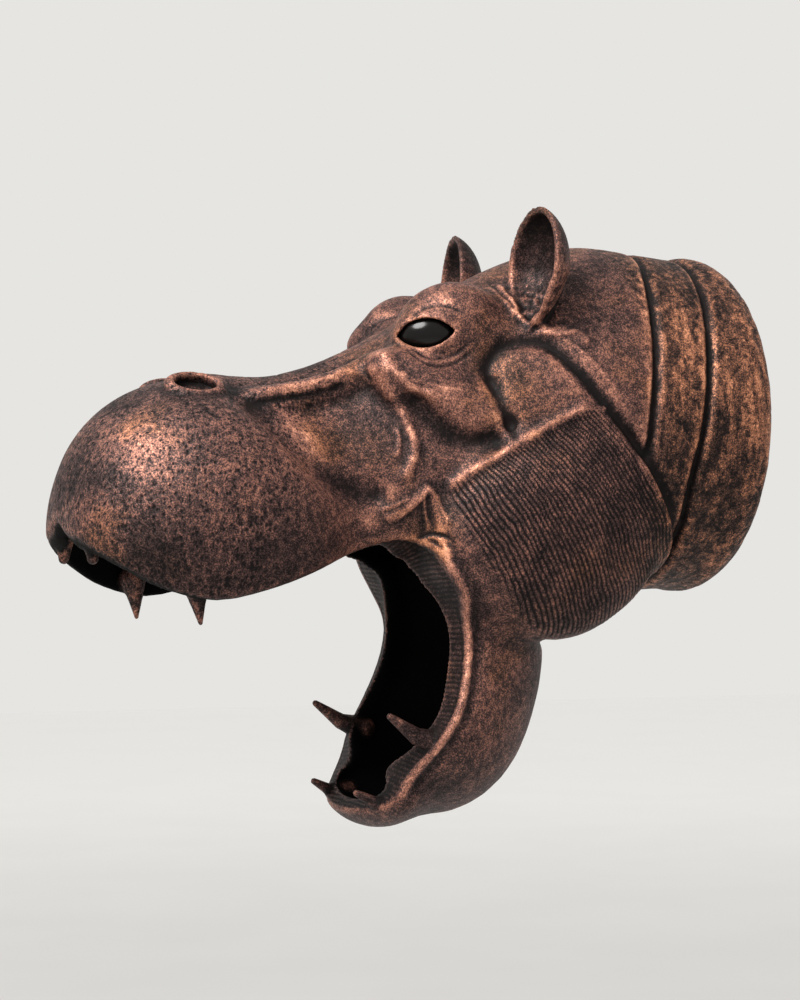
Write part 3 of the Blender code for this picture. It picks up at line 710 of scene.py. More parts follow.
def smoothed(values, tris, rounds):
    """Values at the points after that many rounds of averaging with their neighbours."""
    ends = np.concatenate([tris[:, [0, 1]], tris[:, [1, 2]], tris[:, [2, 0]]])
    first, second = ends.T
    n = len(values)
    share = np.bincount(first, minlength=n) + np.bincount(second, minlength=n)
    share = np.maximum(share, 1)[:, None]
    for _ in range(rounds):
        total = [np.bincount(first, v[second], n) + np.bincount(second, v[first], n) for v in values.T]
        values = 0.5 * values + 0.5 * np.stack(total, -1) / share
    return values


# Paths in the side view, as (Y, Z) points, that a fold and a streak of the patina share
CHEEK_VEIN = ((-0.350, 0.042), (-0.346, 0.029), (-0.340, 0.017), (-0.334, 0.008))
CORNER_ROLL = ((-0.313, -0.109), (-0.304, -0.104), (-0.297, -0.110), (-0.293, -0.124))
CORNER_GROOVE = ((-0.317, -0.107), (-0.306, -0.1015), (-0.296, -0.1035), (-0.289, -0.110))
BRIDGE_GROOVE = ((-0.462, 0.001), (-0.435, 0.009), (-0.405, 0.014), (-0.380, 0.020), (-0.360, 0.029))

# Narrow folds that the solid leaves out: the path, how far it rises (a groove's number is negative), and
# its width. Each fades over a share of its length.
FOLD_ENDS = 0.2
FOLDS = (
    (((-0.312, -0.068), (-0.311, -0.079), (-0.308, -0.091), (-0.306, -0.101)), 0.0013, 0.0019),
    (((-0.308, -0.064), (-0.316, -0.074), (-0.327, -0.084), (-0.338, -0.092)), 0.0012, 0.0018),
    (((-0.322, -0.070), (-0.334, -0.077), (-0.350, -0.083)), 0.0010, 0.0018),
    (((-0.304, -0.066), (-0.298, -0.080), (-0.293, -0.096)), 0.0010, 0.0017),
    (CORNER_ROLL, 0.0020, 0.0026),
    (CORNER_GROOVE, -0.0009, 0.0018),
    (CHEEK_VEIN, 0.0014, 0.0018),
    (((-0.331, -0.012), (-0.330, -0.026), (-0.334, -0.040)), 0.0010, 0.0016),
    (((-0.366, 0.037), (-0.354, 0.032), (-0.346, 0.022)), 0.0010, 0.0016),
    (((-0.340, 0.040), (-0.332, 0.030), (-0.318, 0.020), (-0.300, 0.013), (-0.280, 0.010)), 0.0007, 0.0018),
    (((-0.334, 0.036), (-0.320, 0.027), (-0.300, 0.021), (-0.278, 0.018)), 0.0006, 0.0016),
    (((-0.470, 0.008), (-0.444, 0.017), (-0.410, 0.023), (-0.382, 0.030), (-0.358, 0.041)), 0.0010, 0.0018),
    (BRIDGE_GROOVE, -0.0020, 0.0034),
    (((-0.320, 0.070), (-0.308, 0.086), (-0.288, 0.092), (-0.268, 0.082)), -0.0009, 0.0016),
    (((-0.318, 0.056), (-0.302, 0.046), (-0.280, 0.050), (-0.266, 0.062)), -0.0009, 0.0016),
    (((-0.325, 0.058), (-0.306, 0.040), (-0.280, 0.043), (-0.260, 0.058)), -0.0008, 0.0016),
    (((-0.210, 0.071), (-0.193, 0.068), (-0.170, 0.073)), 0.0012, 0.0020),
    (((-0.196, 0.068), (-0.180, 0.056), (-0.166, 0.039), (-0.150, 0.016)), 0.0008, 0.0018),
    (((-0.223, 0.119), (-0.223, 0.105), (-0.220, 0.095), (-0.220, 0.085), (-0.213, 0.076)), 0.0028, 0.0026),
    (((-0.231, 0.116), (-0.230, 0.103), (-0.226, 0.093), (-0.223, 0.083)), 0.0014, 0.0020),
    (NECK_CREASE_FRONT, -0.0024, 0.0013),
    (NECK_CREASE_BACK, -0.0024, 0.0013),
)

# Dents and, where the height is positive, lumps: (Y, Z), reach in Y and Z, height, and copper, which is
# negative where it is darker
DENTS = (
    ((-0.2415, -0.0100), (0.0055, 0.0085), -0.0045, -1.10),
    ((-0.1620, 0.0045), (0.0034, 0.0030), 0.0018, 0.90),
    ((-0.0730, 0.0450), (0.0050, 0.0080), -0.0010, -0.80),
    ((-0.4700, -0.0900), (0.0040, 0.0050), -0.0008, -0.60),
)

# Tracks where copper caught on an edge, with their width and strength. Each fades over a share of its
# length.
TRACK_ENDS = 0.15
EDGE_TRACKS = (
    (CHEEK_RIDGE, 0.0030, 0.70),
    (CHEEK_FOLD, 0.0026, 0.70),
    (UNDER_EYE_FOLD, 0.0030, 0.60),
    (CORNER_FOLD_FRONT, 0.0024, 0.25),
    (CORNER_FOLD_BACK, 0.0024, 0.25),
    (((-0.336, 0.060), (-0.312, 0.052), (-0.290, 0.047), (-0.268, 0.055)), 0.0050, 0.45),
    (CHEEK_VEIN, 0.0024, 0.70),
    (((-0.340, 0.043), (-0.331, 0.033), (-0.316, 0.024), (-0.296, 0.018), (-0.270, 0.016)), 0.0040, 0.50),
    (((-0.210, 0.074), (-0.190, 0.071), (-0.168, 0.076)), 0.0030, 0.50),
    (BROW_FOLD, 0.0050, 0.35),
    (((-0.470, 0.006), (-0.444, 0.015), (-0.410, 0.021), (-0.382, 0.028), (-0.358, 0.039)), 0.0036, 0.70),
    (((-0.402, -0.088), (-0.378, -0.091), (-0.356, -0.090), (-0.336, -0.084)), 0.0070, 0.50),
    (((-0.446, 0.012), (-0.424, -0.005), (-0.402, -0.027), (-0.384, -0.043)), 0.0060, 0.35),
    (
        ((-0.105, -0.078), (-0.091, -0.104), (-0.090, -0.128), (-0.106, -0.152), (-0.150, -0.174)),
        0.0060,
        0.45,
    ),
    (((-0.080, 0.105), (-0.078, 0.065), (-0.082, 0.030), (-0.090, -0.020)), 0.0120, 0.45),
    (((-0.040, 0.100), (-0.036, 0.055), (-0.030, 0.010)), 0.0140, 0.15),
    (tuple((y - 0.0052, z) for y, z in NECK_CREASE_FRONT), 0.0016, 0.55),
    (tuple((y - 0.0052, z) for y, z in NECK_CREASE_BACK), 0.0016, 0.40),
    (((-0.322, 0.074), (-0.305, 0.052), (-0.284, 0.054), (-0.268, 0.066)), 0.0040, 0.40),
    (((-0.310, 0.094), (-0.294, 0.096), (-0.276, 0.096)), 0.0090, 0.50),
    (((-0.050, -0.126), (-0.025, -0.128)), 0.0130, 0.50),
    (((-0.226, 0.118), (-0.224, 0.100), (-0.219, 0.086), (-0.214, 0.078)), 0.0060, 0.60),
    (((-0.028, -0.058), (-0.018, -0.066)), 0.0050, 0.90),
    (CORNER_ROLL, 0.0040, 0.60),
)

# Tracks that stayed black, the same way. The one along the neck's back edge by the wall is painted shade.
DARK_TRACKS = (
    (TEMPLE, 0.0030, 0.80),
    (TEMPLE_FRONT, 0.0026, 0.30),
    (CHEEKBONE_HOLLOW, 0.0050, 0.25),
    (MUZZLE_FOLD, 0.0040, 0.25),
    (NECK_CREASE_FRONT, 0.0026, 1.20),
    (NECK_CREASE_BACK, 0.0026, 1.20),
    (tuple((y + 0.0085, z) for y, z in NECK_CREASE_FRONT), 0.0045, 0.40),
    (tuple((y + 0.0085, z) for y, z in NECK_CREASE_BACK), 0.0045, 0.45),
    (tuple((y - 0.0120, z) for y, z in NECK_CREASE_BACK), 0.0050, 0.35),
    (BRIDGE_GROOVE, 0.0060, 0.60),
    (((-0.440, 0.034), (-0.400, 0.040), (-0.360, 0.055)), 0.0100, 0.40),
    # Painted shade along the neck's back edge, where it turns away towards the wall
    (((-0.002, 0.120), (-0.002, 0.000), (-0.002, -0.120)), 0.0050, 0.60),
    (CORNER_GROOVE, 0.0024, 0.35),
)

# Broad patches with more copper, or less where the strength is negative: (Y, Z, radius, strength). The
# lighter ones high on the neck's rolls are painted light, and the darker ones low on the muzzle, under the
# jaw and under the neck are painted shade.
PATCHES_OF_COPPER_AND_PAINTED_LIGHT = (
    (-0.550, -0.034, 0.024, 0.65),
    (-0.515, -0.055, 0.055, 0.15),
    (-0.602, -0.050, 0.034, -0.45),
    (-0.560, 0.015, 0.026, -0.45),
    (-0.430, -0.150, 0.050, -0.28),
    (-0.530, -0.140, 0.045, -0.40),
    (-0.405, -0.025, 0.030, 0.50),
    (-0.556, -0.116, 0.026, -0.40),
    (-0.300, -0.340, 0.040, -0.30),
    (-0.060, -0.165, 0.040, -0.30),
    (-0.120, -0.030, 0.050, -0.15),
    (-0.300, 0.010, 0.020, 0.20),
    (-0.190, 0.020, 0.050, 0.12),
    (-0.350, -0.070, 0.020, 0.30),
    (-0.500, 0.010, 0.026, -0.25),
    (-0.584, -0.090, 0.014, 0.35),
    (-0.470, -0.130, 0.040, -0.10),
    (-0.415, -0.010, 0.022, 0.25),
    (-0.375, -0.020, 0.030, -0.25),
    (-0.292, 0.002, 0.026, 0.12),
    (-0.250, 0.060, 0.030, -0.20),
    (-0.175, 0.120, 0.045, -0.12),
    (-0.160, 0.055, 0.030, 0.06),
    (-0.205, 0.020, 0.030, 0.05),
    (-0.080, 0.030, 0.050, 0.10),
    (-0.035, 0.060, 0.050, 0.14),
    (-0.030, -0.020, 0.040, 0.06),
    (-0.045, -0.080, 0.040, -0.25),
    (-0.085, -0.070, 0.030, -0.15),
    (-0.250, -0.080, 0.030, -0.06),
    (-0.150, -0.120, 0.050, -0.10),
    (-0.245, -0.200, 0.024, 0.16),
    (-0.255, -0.290, 0.030, -0.08),
    (-0.230, -0.165, 0.026, -0.20),
)


def folds(p):
    """Height of the narrow folds, the dents and the lumps."""
    y, z = p[1:]
    out = np.zeros(y.shape)
    for points, rise, width in FOLDS:
        gap, ends = near_path(y, z, points, FOLD_ENDS)
        out += swell(gap, rise, 0.0, width) * ends
    for place, reach, rise, _ in DENTS:
        out += rise * spot(y, z, place, reach)
    return out


def spot(y, z, place, reach):
    """One in the middle of a soft oval, fading to nothing."""
    return np.exp(-(((y - place[0]) / reach[0]) ** 2) - ((z - place[1]) / reach[1]) ** 2)


# Ribs of the cheek: pitch and height, where they fade in from its edge, its front and its inner side, how
# they slant and bend, and the size, lump and seed of each waver
RIB_PITCH = 0.0047
RIB_HEIGHT = 0.0010
RIB_EDGE = (0.001, -0.009)
RIB_FRONT = (-0.302, -0.280)
RIB_INNER = (0.045, 0.060)
RIB_SLANT = 0.52
RIB_BEND = 0.45
RIB_BEND_REACH = 0.030
RIB_WAVERS = ((0.0028, 0.030, 3), (0.0010, 0.009, 4))
RIB_MIDDLE = 0.6
RIB_UNEVEN = (0.85, 0.30)
RIB_UNEVEN_NOISE = (0.012, 5)

# Pits of the muzzle: depth, where they fade in along a slanted line, and the noise that places them
PIT_DEPTH = 0.0007
PIT_FADE = (-0.385, -0.430)
PIT_SLANT = 0.55
PIT_LEVEL = -0.06
PIT_NOISE = (0.0042, 11)
PIT_FINE_NOISE = (0.0026, 12)
PIT_FINE_SHARE = 0.6
PIT_START = 0.25

# Wrinkles: height, the size, octaves and seed of each kind, and how strong they are in each region
WRINKLE = 0.0007
LUMPS = (0.012, 3, 21)
LUMP_SHARE = 0.5
STREAKS = (0.020, 3, 31)
STREAK_SHARE = 0.3
STREAK_SQUEEZE = (2.0, 3.0, 0.8)
CRACKS = (0.018, 3, 41)
CRACK_SHARE = 0.5
CRACK_WIDTH = 0.09
ON_NECK, ON_JAW, ON_FACE = 0.7, 0.5, 0.35
NECK_FADE = (-0.135, -0.110)
JAW_FADE = (-0.150, -0.190)
FACE_FRONT_FADE = (-0.42, -0.36)
FACE_REAR_FADE = (-0.10, -0.15)
FACE_LOW_FADE = (-0.12, -0.09)

# Folds and hair at the ear's foot: (Y, Z) and reach of each, their height, and their noise
EAR_FOOT = ((-0.212, 0.092), (0.022, 0.018))
EAR_BACK = ((-0.196, 0.100), (0.014, 0.020))
EAR_FOOT_INNER = (0.02, 0.05)
TUFT_HEIGHT = 0.0022
TUFT_LUMPS = (0.009, 2, 55)
HAIR_SQUEEZE = (2.2, 2.2, 0.5)
HAIR_NOISE = (0.008, 51)
HAIR_MIDDLE = 0.3

# Gum inside the lower lip, and the grooves across it, which fan out from a point in front of the jaw
GUM_FACE = (0.0022, 0.0010)
GUM_INSIDE = (0.002, 0.004)
GUM_FRONT = (-0.385, -0.345)
GROOVE_PITCH = 0.0045
GROOVE_DEPTH = 0.0007
GROOVE_FAN = (-0.420, -0.215)
GROOVE_RADIUS = 0.150
GROOVE_WAVER = 1.2
GROOVE_WAVER_NOISE = (0.012, 61)
GROOVE_LIMITS = (-1.0, 0.4)
GROOVE_UNEVEN = (0.6, 0.4)
GROOVE_UNEVEN_NOISE = (0.02, 62)


def rib_count(p):
    """Number of ribs counted across the cheek from the mouth, and how far the ribs show there."""
    x, y, z = p
    shown = smooth_step(*RIB_EDGE, outline_field(y, z, CHEEK)) * smooth_step(*RIB_FRONT, y)
    steeper = RIB_BEND_REACH * np.logaddexp(0.0, (z + RIB_BEND_REACH) / RIB_BEND_REACH)
    across = y + RIB_SLANT * z + RIB_BEND * steeper
    for shift, lump, seed in RIB_WAVERS:
        across = across + shift * noise(p, lump, seed)
    return across / RIB_PITCH, shown * smooth_step(*RIB_INNER, x)


def cheek_ribs(p):
    """Fine slanting ribs on the cheek, parted by narrow grooves."""
    count, shown = rib_count(p)
    wave = np.abs(np.sin(np.pi * count))
    least, more = RIB_UNEVEN
    return (wave - RIB_MIDDLE) * shown * (least + more * noise(p, *RIB_UNEVEN_NOISE))


def muzzle_pits(p):
    """Small pits all over the muzzle."""
    y, z = p[1:]
    there = smooth_step(*PIT_FADE, y - PIT_SLANT * (z - PIT_LEVEL))
    lumps = noise(p, *PIT_NOISE) + PIT_FINE_SHARE * noise(p, *PIT_FINE_NOISE)
    return -np.clip(lumps - PIT_START, 0.0, 1.0) * there


def wrinkles(p):
    """Leathery wrinkles on the neck, the jaw and the face."""
    y, z = p[1:]
    neck = smooth_step(*NECK_FADE, y)
    jaw_side = smooth_step(*JAW_FADE, z)
    face = smooth_step(*FACE_FRONT_FADE, y) * smooth_step(*FACE_REAR_FADE, y)
    face = face * smooth_step(*FACE_LOW_FADE, z)
    coarse = octaves(p, *LUMPS)
    streaks = octaves(np.stack([v * k for v, k in zip(p, STREAK_SQUEEZE)]), *STREAKS)
    cracks = -np.exp(-((octaves(p, *CRACKS) / CRACK_WIDTH) ** 2))
    there = ON_NECK * neck + ON_JAW * jaw_side + ON_FACE * face
    return (LUMP_SHARE * coarse + STREAK_SHARE * streaks) * there + CRACK_SHARE * cracks * neck


def ear_tufts(p):
    """Ragged folds and short hair round the foot of the ear."""
    x, y, z = p
    outer_side = smooth_step(*EAR_FOOT_INNER, x)
    foot = spot(y, z, *EAR_FOOT) * outer_side
    back = spot(y, z, *EAR_BACK) * outer_side
    squeezed = np.stack([v * k for v, k in zip(p, HAIR_SQUEEZE)])
    hair = np.abs(noise(squeezed, *HAIR_NOISE)) - HAIR_MIDDLE
    return TUFT_HEIGHT * octaves(p, *TUFT_LUMPS) * foot - TUFT_HEIGHT * hair * back


def fine_relief(p, skin):
    """How far the fine modelling stands out, in metres."""
    out = RIB_HEIGHT * cheek_ribs(p) + PIT_DEPTH * muzzle_pits(p) + WRINKLE * wrinkles(p) + folds(p)
    return out * skin + ear_tufts(p)


def gum_band(p):
    """Where the gum lies, between the lip of the lower jaw and the black hollow."""
    form = face_form(p)
    face = smooth_step(*GUM_FACE, np.abs(mouth(p, -form)))
    return face * smooth_step(*GUM_INSIDE, -form) * smooth_step(*GUM_FRONT, p[1])


def gum_grooves(p):
    """Grooves that run across the gum."""
    fan_y, fan_z = GROOVE_FAN
    angle = np.arctan2(p[2] - fan_z, fan_y - p[1])
    turns = angle * GROOVE_RADIUS * 2.0 * np.pi / GROOVE_PITCH
    wave = np.sin(turns + GROOVE_WAVER * noise(p, *GROOVE_WAVER_NOISE))
    least, more = GROOVE_UNEVEN
    return np.clip(wave, *GROOVE_LIMITS) * (least + more * noise(p, *GROOVE_UNEVEN_NOISE))


# Where the mesh is halved: the distance from the skin, the ears and the teeth, and the gum's share
FINE_SKIN, FINE_EAR, FINE_TOOTH, FINE_GUM = 0.0045, 0.006, 0.004, 0.1
SETTLE_ROUNDS = 2
SETTLE_STEP = 0.001

# Distances over which the skin, the ears, the teeth and the wall's edge take over
SKIN_FADE = (0.002, 0.005)
EAR_FADE = (0.004, 0.001)
TOOTH_FADE = (0.003, 0.0005)
WALL_FADE = (0.0, 0.008)


def head_mesh():
    """Points and triangles of the modelled head, and how far each point is skin, ear, tooth or gum."""
    points, quads = mesh_field(mirrored(casting), GRID_LOW, GRID_HIGH, GRID_STEP)
    tris = np.concatenate([quads[:, [0, 1, 2]], quads[:, [0, 2, 3]]])
    p = folded(points.T)
    wanted = (np.abs(face_form(p)) < FINE_SKIN) | (ear(p) < FINE_EAR)
    wanted = wanted | (teeth(p) < FINE_TOOTH) | (gum_band(p) > FINE_GUM)
    points, tris = split_edges(points, tris, wanted)
    for _ in range(SETTLE_ROUNDS):
        off = mirrored(casting)(points.T)
        points = points - tri_normals(points, tris) * np.clip(off, -SETTLE_STEP, SETTLE_STEP)[:, None]
    points[:, 1] = np.minimum(points[:, 1], 0.0)
    p = folded(points.T)
    masks = {
        "skin": 1.0 - smooth_step(*SKIN_FADE, np.abs(face_form(p))),
        "ear": smooth_step(*EAR_FADE, ear(p)),
        "tooth": smooth_step(*TOOTH_FADE, teeth(p)),
        "gum": gum_band(p),
    }
    off_wall = smooth_step(*WALL_FADE, -p[1])
    normals = tri_normals(points, tris)
    points = points + normals * (relief(p) * masks["skin"] * off_wall)[:, None]
    side = np.stack([p[0], points[:, 1], points[:, 2]])
    lift = fine_relief(side, masks["skin"] * (1.0 - masks["tooth"]))
    lift = lift + GROOVE_DEPTH * gum_grooves(side) * masks["gum"]
    points = points + tri_normals(points, tris) * (lift * off_wall)[:, None]
    return points, tris, masks


# How far a point stands out: rounds of averaging of the near and the far form, and the rise that counts
# as one
NEAR_ROUNDS, FAR_ROUNDS = 5, 30
FINE_RISE, BROAD_RISE = 0.00025, 0.0016
FINE_LIMITS = (-1.5, 0.8)
BROAD_LIMITS = (-1.0, 1.0)
TOOTH_SMOOTH = 0.5

# Breaks in the rubbed copper: mean, swing, noise and limits
BROKEN_MEAN, BROKEN_SWING = 0.62, 1.3
BROKEN_NOISE = (0.009, 3, 71)
BROKEN_LIMITS = (0.0, 1.4)

# Copper along the lower lip (strength, distance from the mouth, width) and painted shade along the edge of
# the upper one, where it turns in to the mouth
LIP_COPPER = (0.50, 0.0040, 0.0019)
LIP_COPPER_FADE = (-0.36, -0.30)
LIP_PAINTED_SHADE = 0.25
LIP_PAINTED_SHADE_REACH = (0.006, 0.001)
LIP_PAINTED_SHADE_FADE = (-0.38, -0.42)

# Tones of the ears from foot to tip, the teeth, the gum and the ribbed cheek
EAR_FOOT_COPPER, EAR_FOOT_FADE = 0.25, (0.150, 0.105)
EAR_DARK = 0.10
EAR_TIP_DARK, EAR_TIP_FADE = 0.70, (0.130, 0.165)
TOOTH_COPPER, TOOTH_DARK = 0.55, 0.70
GUM_DARK = 0.65
RIBS_DARK = 0.22


def paint(points, tris, masks):
    """Values at the points that drive the patina: height, copper with some painted light and shade, black
    lining and the ribs' count.
    """
    normals = tri_normals(points, tris)
    near = smoothed(points, tris, NEAR_ROUNDS)
    far = smoothed(near, tris, FAR_ROUNDS)
    fine = np.clip(np.einsum("ij,ij->i", points - near, normals) / FINE_RISE, *FINE_LIMITS)
    broad = np.clip(np.einsum("ij,ij->i", points - far, normals) / BROAD_RISE, *BROAD_LIMITS)
    p = folded(points.T)
    y, z = p[1:]
    skin, ears, tooth, gum = (masks[k] for k in ("skin", "ear", "tooth", "gum"))
    tone = np.zeros(len(points))
    broken = np.clip(BROKEN_MEAN + BROKEN_SWING * octaves(p, *BROKEN_NOISE), *BROKEN_LIMITS)
    # Broad patches: copper tone, with painted light high on the neck and painted shade on the undersides
    for py, pz, radius, strength in PATCHES_OF_COPPER_AND_PAINTED_LIGHT:
        tone += strength * np.exp(-((y - py) ** 2 + (z - pz) ** 2) / radius**2)
    for sign, tracks in ((1, EDGE_TRACKS), (-1, DARK_TRACKS)):
        for track, width, strength in tracks:
            gap, ends = near_path(y, z, track, TRACK_ENDS)
            worn = 1.0 if sign < 0 else broken
            tone += sign * strength * ends * worn * np.exp(-((gap / width) ** 2))
    for place, reach, _, strength in DENTS:
        tone += strength * spot(y, z, place, reach)
    lip = outline_field(y, z, MOUTH)
    tone += broken * swell(lip, *LIP_COPPER) * smooth_step(*LIP_COPPER_FADE, y)
    # Painted shade: the upper lip is darkened along its edge by the mouth
    tone -= LIP_PAINTED_SHADE * smooth_step(*LIP_PAINTED_SHADE_REACH, lip) * smooth_step(*LIP_PAINTED_SHADE_FADE, y)
    tone *= skin
    ear_tone = EAR_FOOT_COPPER * smooth_step(*EAR_FOOT_FADE, z) - EAR_DARK
    tone += ears * (ear_tone - EAR_TIP_DARK * smooth_step(*EAR_TIP_FADE, z))
    tone += tooth * (TOOTH_COPPER * broken - TOOTH_DARK) - GUM_DARK * gum
    fine = fine * (1.0 - TOOTH_SMOOTH * tooth)
    lining = (1.0 - skin) * (1.0 - ears) * (1.0 - tooth) * (1.0 - gum)
    count, shown = rib_count(p)
    ribbed = shown * skin
    tone -= RIBS_DARK * ribbed
    heights = {"fine": fine, "broad": broad}
    return heights | {"tone": tone, "lining": lining, "rib": count, "ribbed": ribbed}


def add_attribute(mesh, name, values):
    """Stores one number for each point, for the material to read."""
    layer = mesh.attributes.new(name, "FLOAT", "POINT")
    layer.data.foreach_set("value", np.asarray(values, np.float32))


def make_skin():
    """The head's skin, thinned and kept inside the solid's bounds."""
    points, tris, masks = head_mesh()
    mesh = bpy.data.meshes.new("head_skin")
    mesh.from_pydata(points.tolist(), [], tris.tolist())
    for name, values in paint(points, tris, masks).items():
        add_attribute(mesh, name, values)
    piece = bpy.data.objects.new("head_skin", mesh)
    bpy.context.scene.collection.objects.link(piece)
    thin = piece.modifiers.new("thin", "DECIMATE")
    thin.ratio = FINE_TRIANGLES / len(tris)
    graph = bpy.context.evaluated_depsgraph_get()
    done = bpy.data.meshes.new_from_object(piece.evaluated_get(graph))
    piece.modifiers.clear()
    piece.data = done
    bpy.data.meshes.remove(mesh)
    low, high = (np.array(corner) for corner in cad_box)
    place = np.array([vertex.co for vertex in done.vertices])
    done.vertices.foreach_set("co", np.clip(place, low, high).ravel())
    done.shade_smooth()
    done.materials.clear()
    done.materials.append(patina())
    return piece


# Facets round each eye's ball, and its size beside the solid eye
EYE_FACETS = 96
EYE_SHARE = 0.998


def make_eye(name, side, gloss):
    """A smooth ball that fills the opening between the lids. Its hidden half lies inside the skin."""
    x, y, z = EYE_CENTRE
    turn = Euler((math.radians(EYE_TILT), 0.0, -side * math.radians(EYE_YAW)))
    place = Matrix.LocRotScale(Vector((side * x, y, z)), turn, Vector(EYE_RADII))
    mesh = bpy.data.meshes.new(name)
    form = bmesh.new()
    rings = EYE_FACETS // 2
    bmesh.ops.create_uvsphere(form, u_segments=EYE_FACETS, v_segments=rings, radius=EYE_SHARE, matrix=place)
    form.to_mesh(mesh)
    form.free()
    mesh.shade_smooth()
    mesh.materials.append(gloss)
    eye = bpy.data.objects.new(name, mesh)
    bpy.context.scene.collection.objects.link(eye)
    return eye


class Nodes:
    """Short hand for building a node material."""

    def __init__(self, name):
        self.material = bpy.data.materials.new(name)
        self.material.use_nodes = True
        self.tree = self.material.node_tree
        self.shader = self.tree.nodes["Principled BSDF"]
        self.place = self.add("ShaderNodeTexCoord").outputs["Object"]

    def add(self, kind, **settings):
        node = self.tree.nodes.new(kind)
        for key, value in settings.items():
            setattr(node, key, value)
        return node

    def join(self, source, socket):
        if isinstance(source, bpy.types.NodeSocket):
            self.tree.links.new(source, socket)
        else:
            socket.default_value = source

    def math(self, operation, a, b=0.0, clamp=False):
        node = self.add("ShaderNodeMath", operation=operation, use_clamp=clamp)
        self.join(a, node.inputs[0])
        self.join(b, node.inputs[1])
        return node.outputs[0]

    def attribute(self, name):
        return self.add("ShaderNodeAttribute", attribute_name=name).outputs["Fac"]

    def stretched(self, stretch):
        mapping = self.add("ShaderNodeMapping")
        self.join(self.place, mapping.inputs["Vector"])
        mapping.inputs["Scale"].default_value = stretch
        return mapping.outputs[0]

    def noise(self, scale, detail, roughness, distortion=0.0, stretch=None):
        node = self.add("ShaderNodeTexNoise")
        self.join(self.stretched(stretch) if stretch else self.place, node.inputs["Vector"])
        node.inputs["Scale"].default_value = scale
        node.inputs["Detail"].default_value = detail
        node.inputs["Roughness"].default_value = roughness
        node.inputs["Distortion"].default_value = distortion
        return node.outputs["Fac"]

    def ramp(self, value, low, high, to_low=0.0, to_high=1.0):
        node = self.add("ShaderNodeMapRange", interpolation_type="SMOOTHSTEP", clamp=True)
        self.join(value, node.inputs[0])
        for i, v in enumerate((low, high, to_low, to_high)):
            node.inputs[1 + i].default_value = v
        return node.outputs[0]

    def mix(self, factor, a, b):
        node = self.add("ShaderNodeMix", data_type="RGBA")
        self.join(factor, node.inputs["Factor"])
        self.join(a, node.inputs[6])
        self.join(b, node.inputs[7])
        return node.outputs[2]

    def dots(self, scale, stretch):
        node = self.add("ShaderNodeTexVoronoi")
        self.join(self.stretched(stretch), node.inputs["Vector"])
        node.inputs["Scale"].default_value = scale
        node.inputs["Randomness"].default_value = DOT_RANDOMNESS
        return node.outputs["Distance"]

    def bump(self, height, strength, distance):
        node = self.add("ShaderNodeBump")
        node.inputs["Strength"].default_value = strength
        node.inputs["Distance"].default_value = distance
        self.join(height, node.inputs["Height"])
        return node.outputs["Normal"]


# Noise in the patina: scale, detail, roughness and, in the squiggles, distortion
CLOUD = (11.0, 4.0, 0.55)
PATCH = (42.0, 4.0, 0.6)
MOTTLE = (190.0, 4.0, 0.7)
GRAIN = (820.0, 3.0, 0.65)
STREAK = (150.0, 3.0, 0.6)
STREAK_STRETCH = (1.0, 1.0, 0.22)
SQUIGGLE = (95.0, 4.0, 0.65, 1.6)

# Where the neck's streaks and the muzzle's dots start
NECK_START = (-0.135, -0.100)
MUZZLE_START = (-0.375, -0.405)
DOTS = (250.0, (1.0, 1.0, 0.66))
DOT_EDGE = (0.44, 0.06)
DOT_RANDOMNESS = 0.65
GROOVE_EDGE = (0.46, 0.05)

# What each thing adds to the amount of copper. A noise has its range first, then what its ends add.
AMOUNT_BIAS = -0.10
FINE_ADDS = 0.30
BROAD_ADDS = 0.26
TONE_ADDS = 0.62
GRAIN_ADDS = (0.34, 0.66, -0.34, 0.34)
MOTTLE_ADDS = (0.34, 0.66, -0.20, 0.20)
PATCH_ADDS = (0.34, 0.66, -0.10, 0.10)
CLOUD_ADDS = (0.36, 0.64, -0.08, 0.08)
STREAK_ADDS = (0.36, 0.64, -0.30, 0.16)
SQUIGGLE_EDGE = (0.022, 0.0)
SQUIGGLE_ADDS = 0.45
DOT_ADDS = -0.62
GROOVE_ADDS = -0.42
LINING_ADDS = -2.5

# Colours, from the bare skin to the most rubbed edges. BASE holds its darker and its lighter patches, and
# the other pairs hold a cool and a warm colour.
BASE = ((0.0040, 0.0030, 0.0030, 1.0), (0.0075, 0.0048, 0.0044, 1.0))
FILM = ((0.0440, 0.0205, 0.0180, 1.0), (0.0400, 0.0175, 0.0115, 1.0))
COPPER = ((0.2250, 0.0950, 0.0660, 1.0), (0.2300, 0.0900, 0.0480, 1.0))
BRIGHT = ((0.6200, 0.2900, 0.1900, 1.0), (0.6200, 0.2700, 0.1450, 1.0))
LINING_BLACK = (0.0022, 0.0020, 0.0020, 1.0)

# Where each colour takes over, and what the amount of copper does to the gloss
WARM_CLOUD = (0.52, 0.68)
BASE_PATCH = (0.35, 0.65)
FILM_STARTS = (-0.60, 0.16)
COPPER_STARTS = (-0.04, 0.50)
BRIGHT_STARTS = (0.42, 1.05)
LINING_STARTS = (0.2, 0.8)
COPPER_METAL = 0.40
ROUGHNESS, COPPER_POLISH, LINING_ROUGHER = 0.56, 0.12, 0.35
SPECULAR = (-0.70, 0.20, 0.08, 0.22)

# Bump: the share of the noises and of the pits and grooves, then its strength and its depth in metres
NOISE_BUMP, SUNK_BUMP = 0.7, 0.9
BUMP = (0.6, 0.0008)


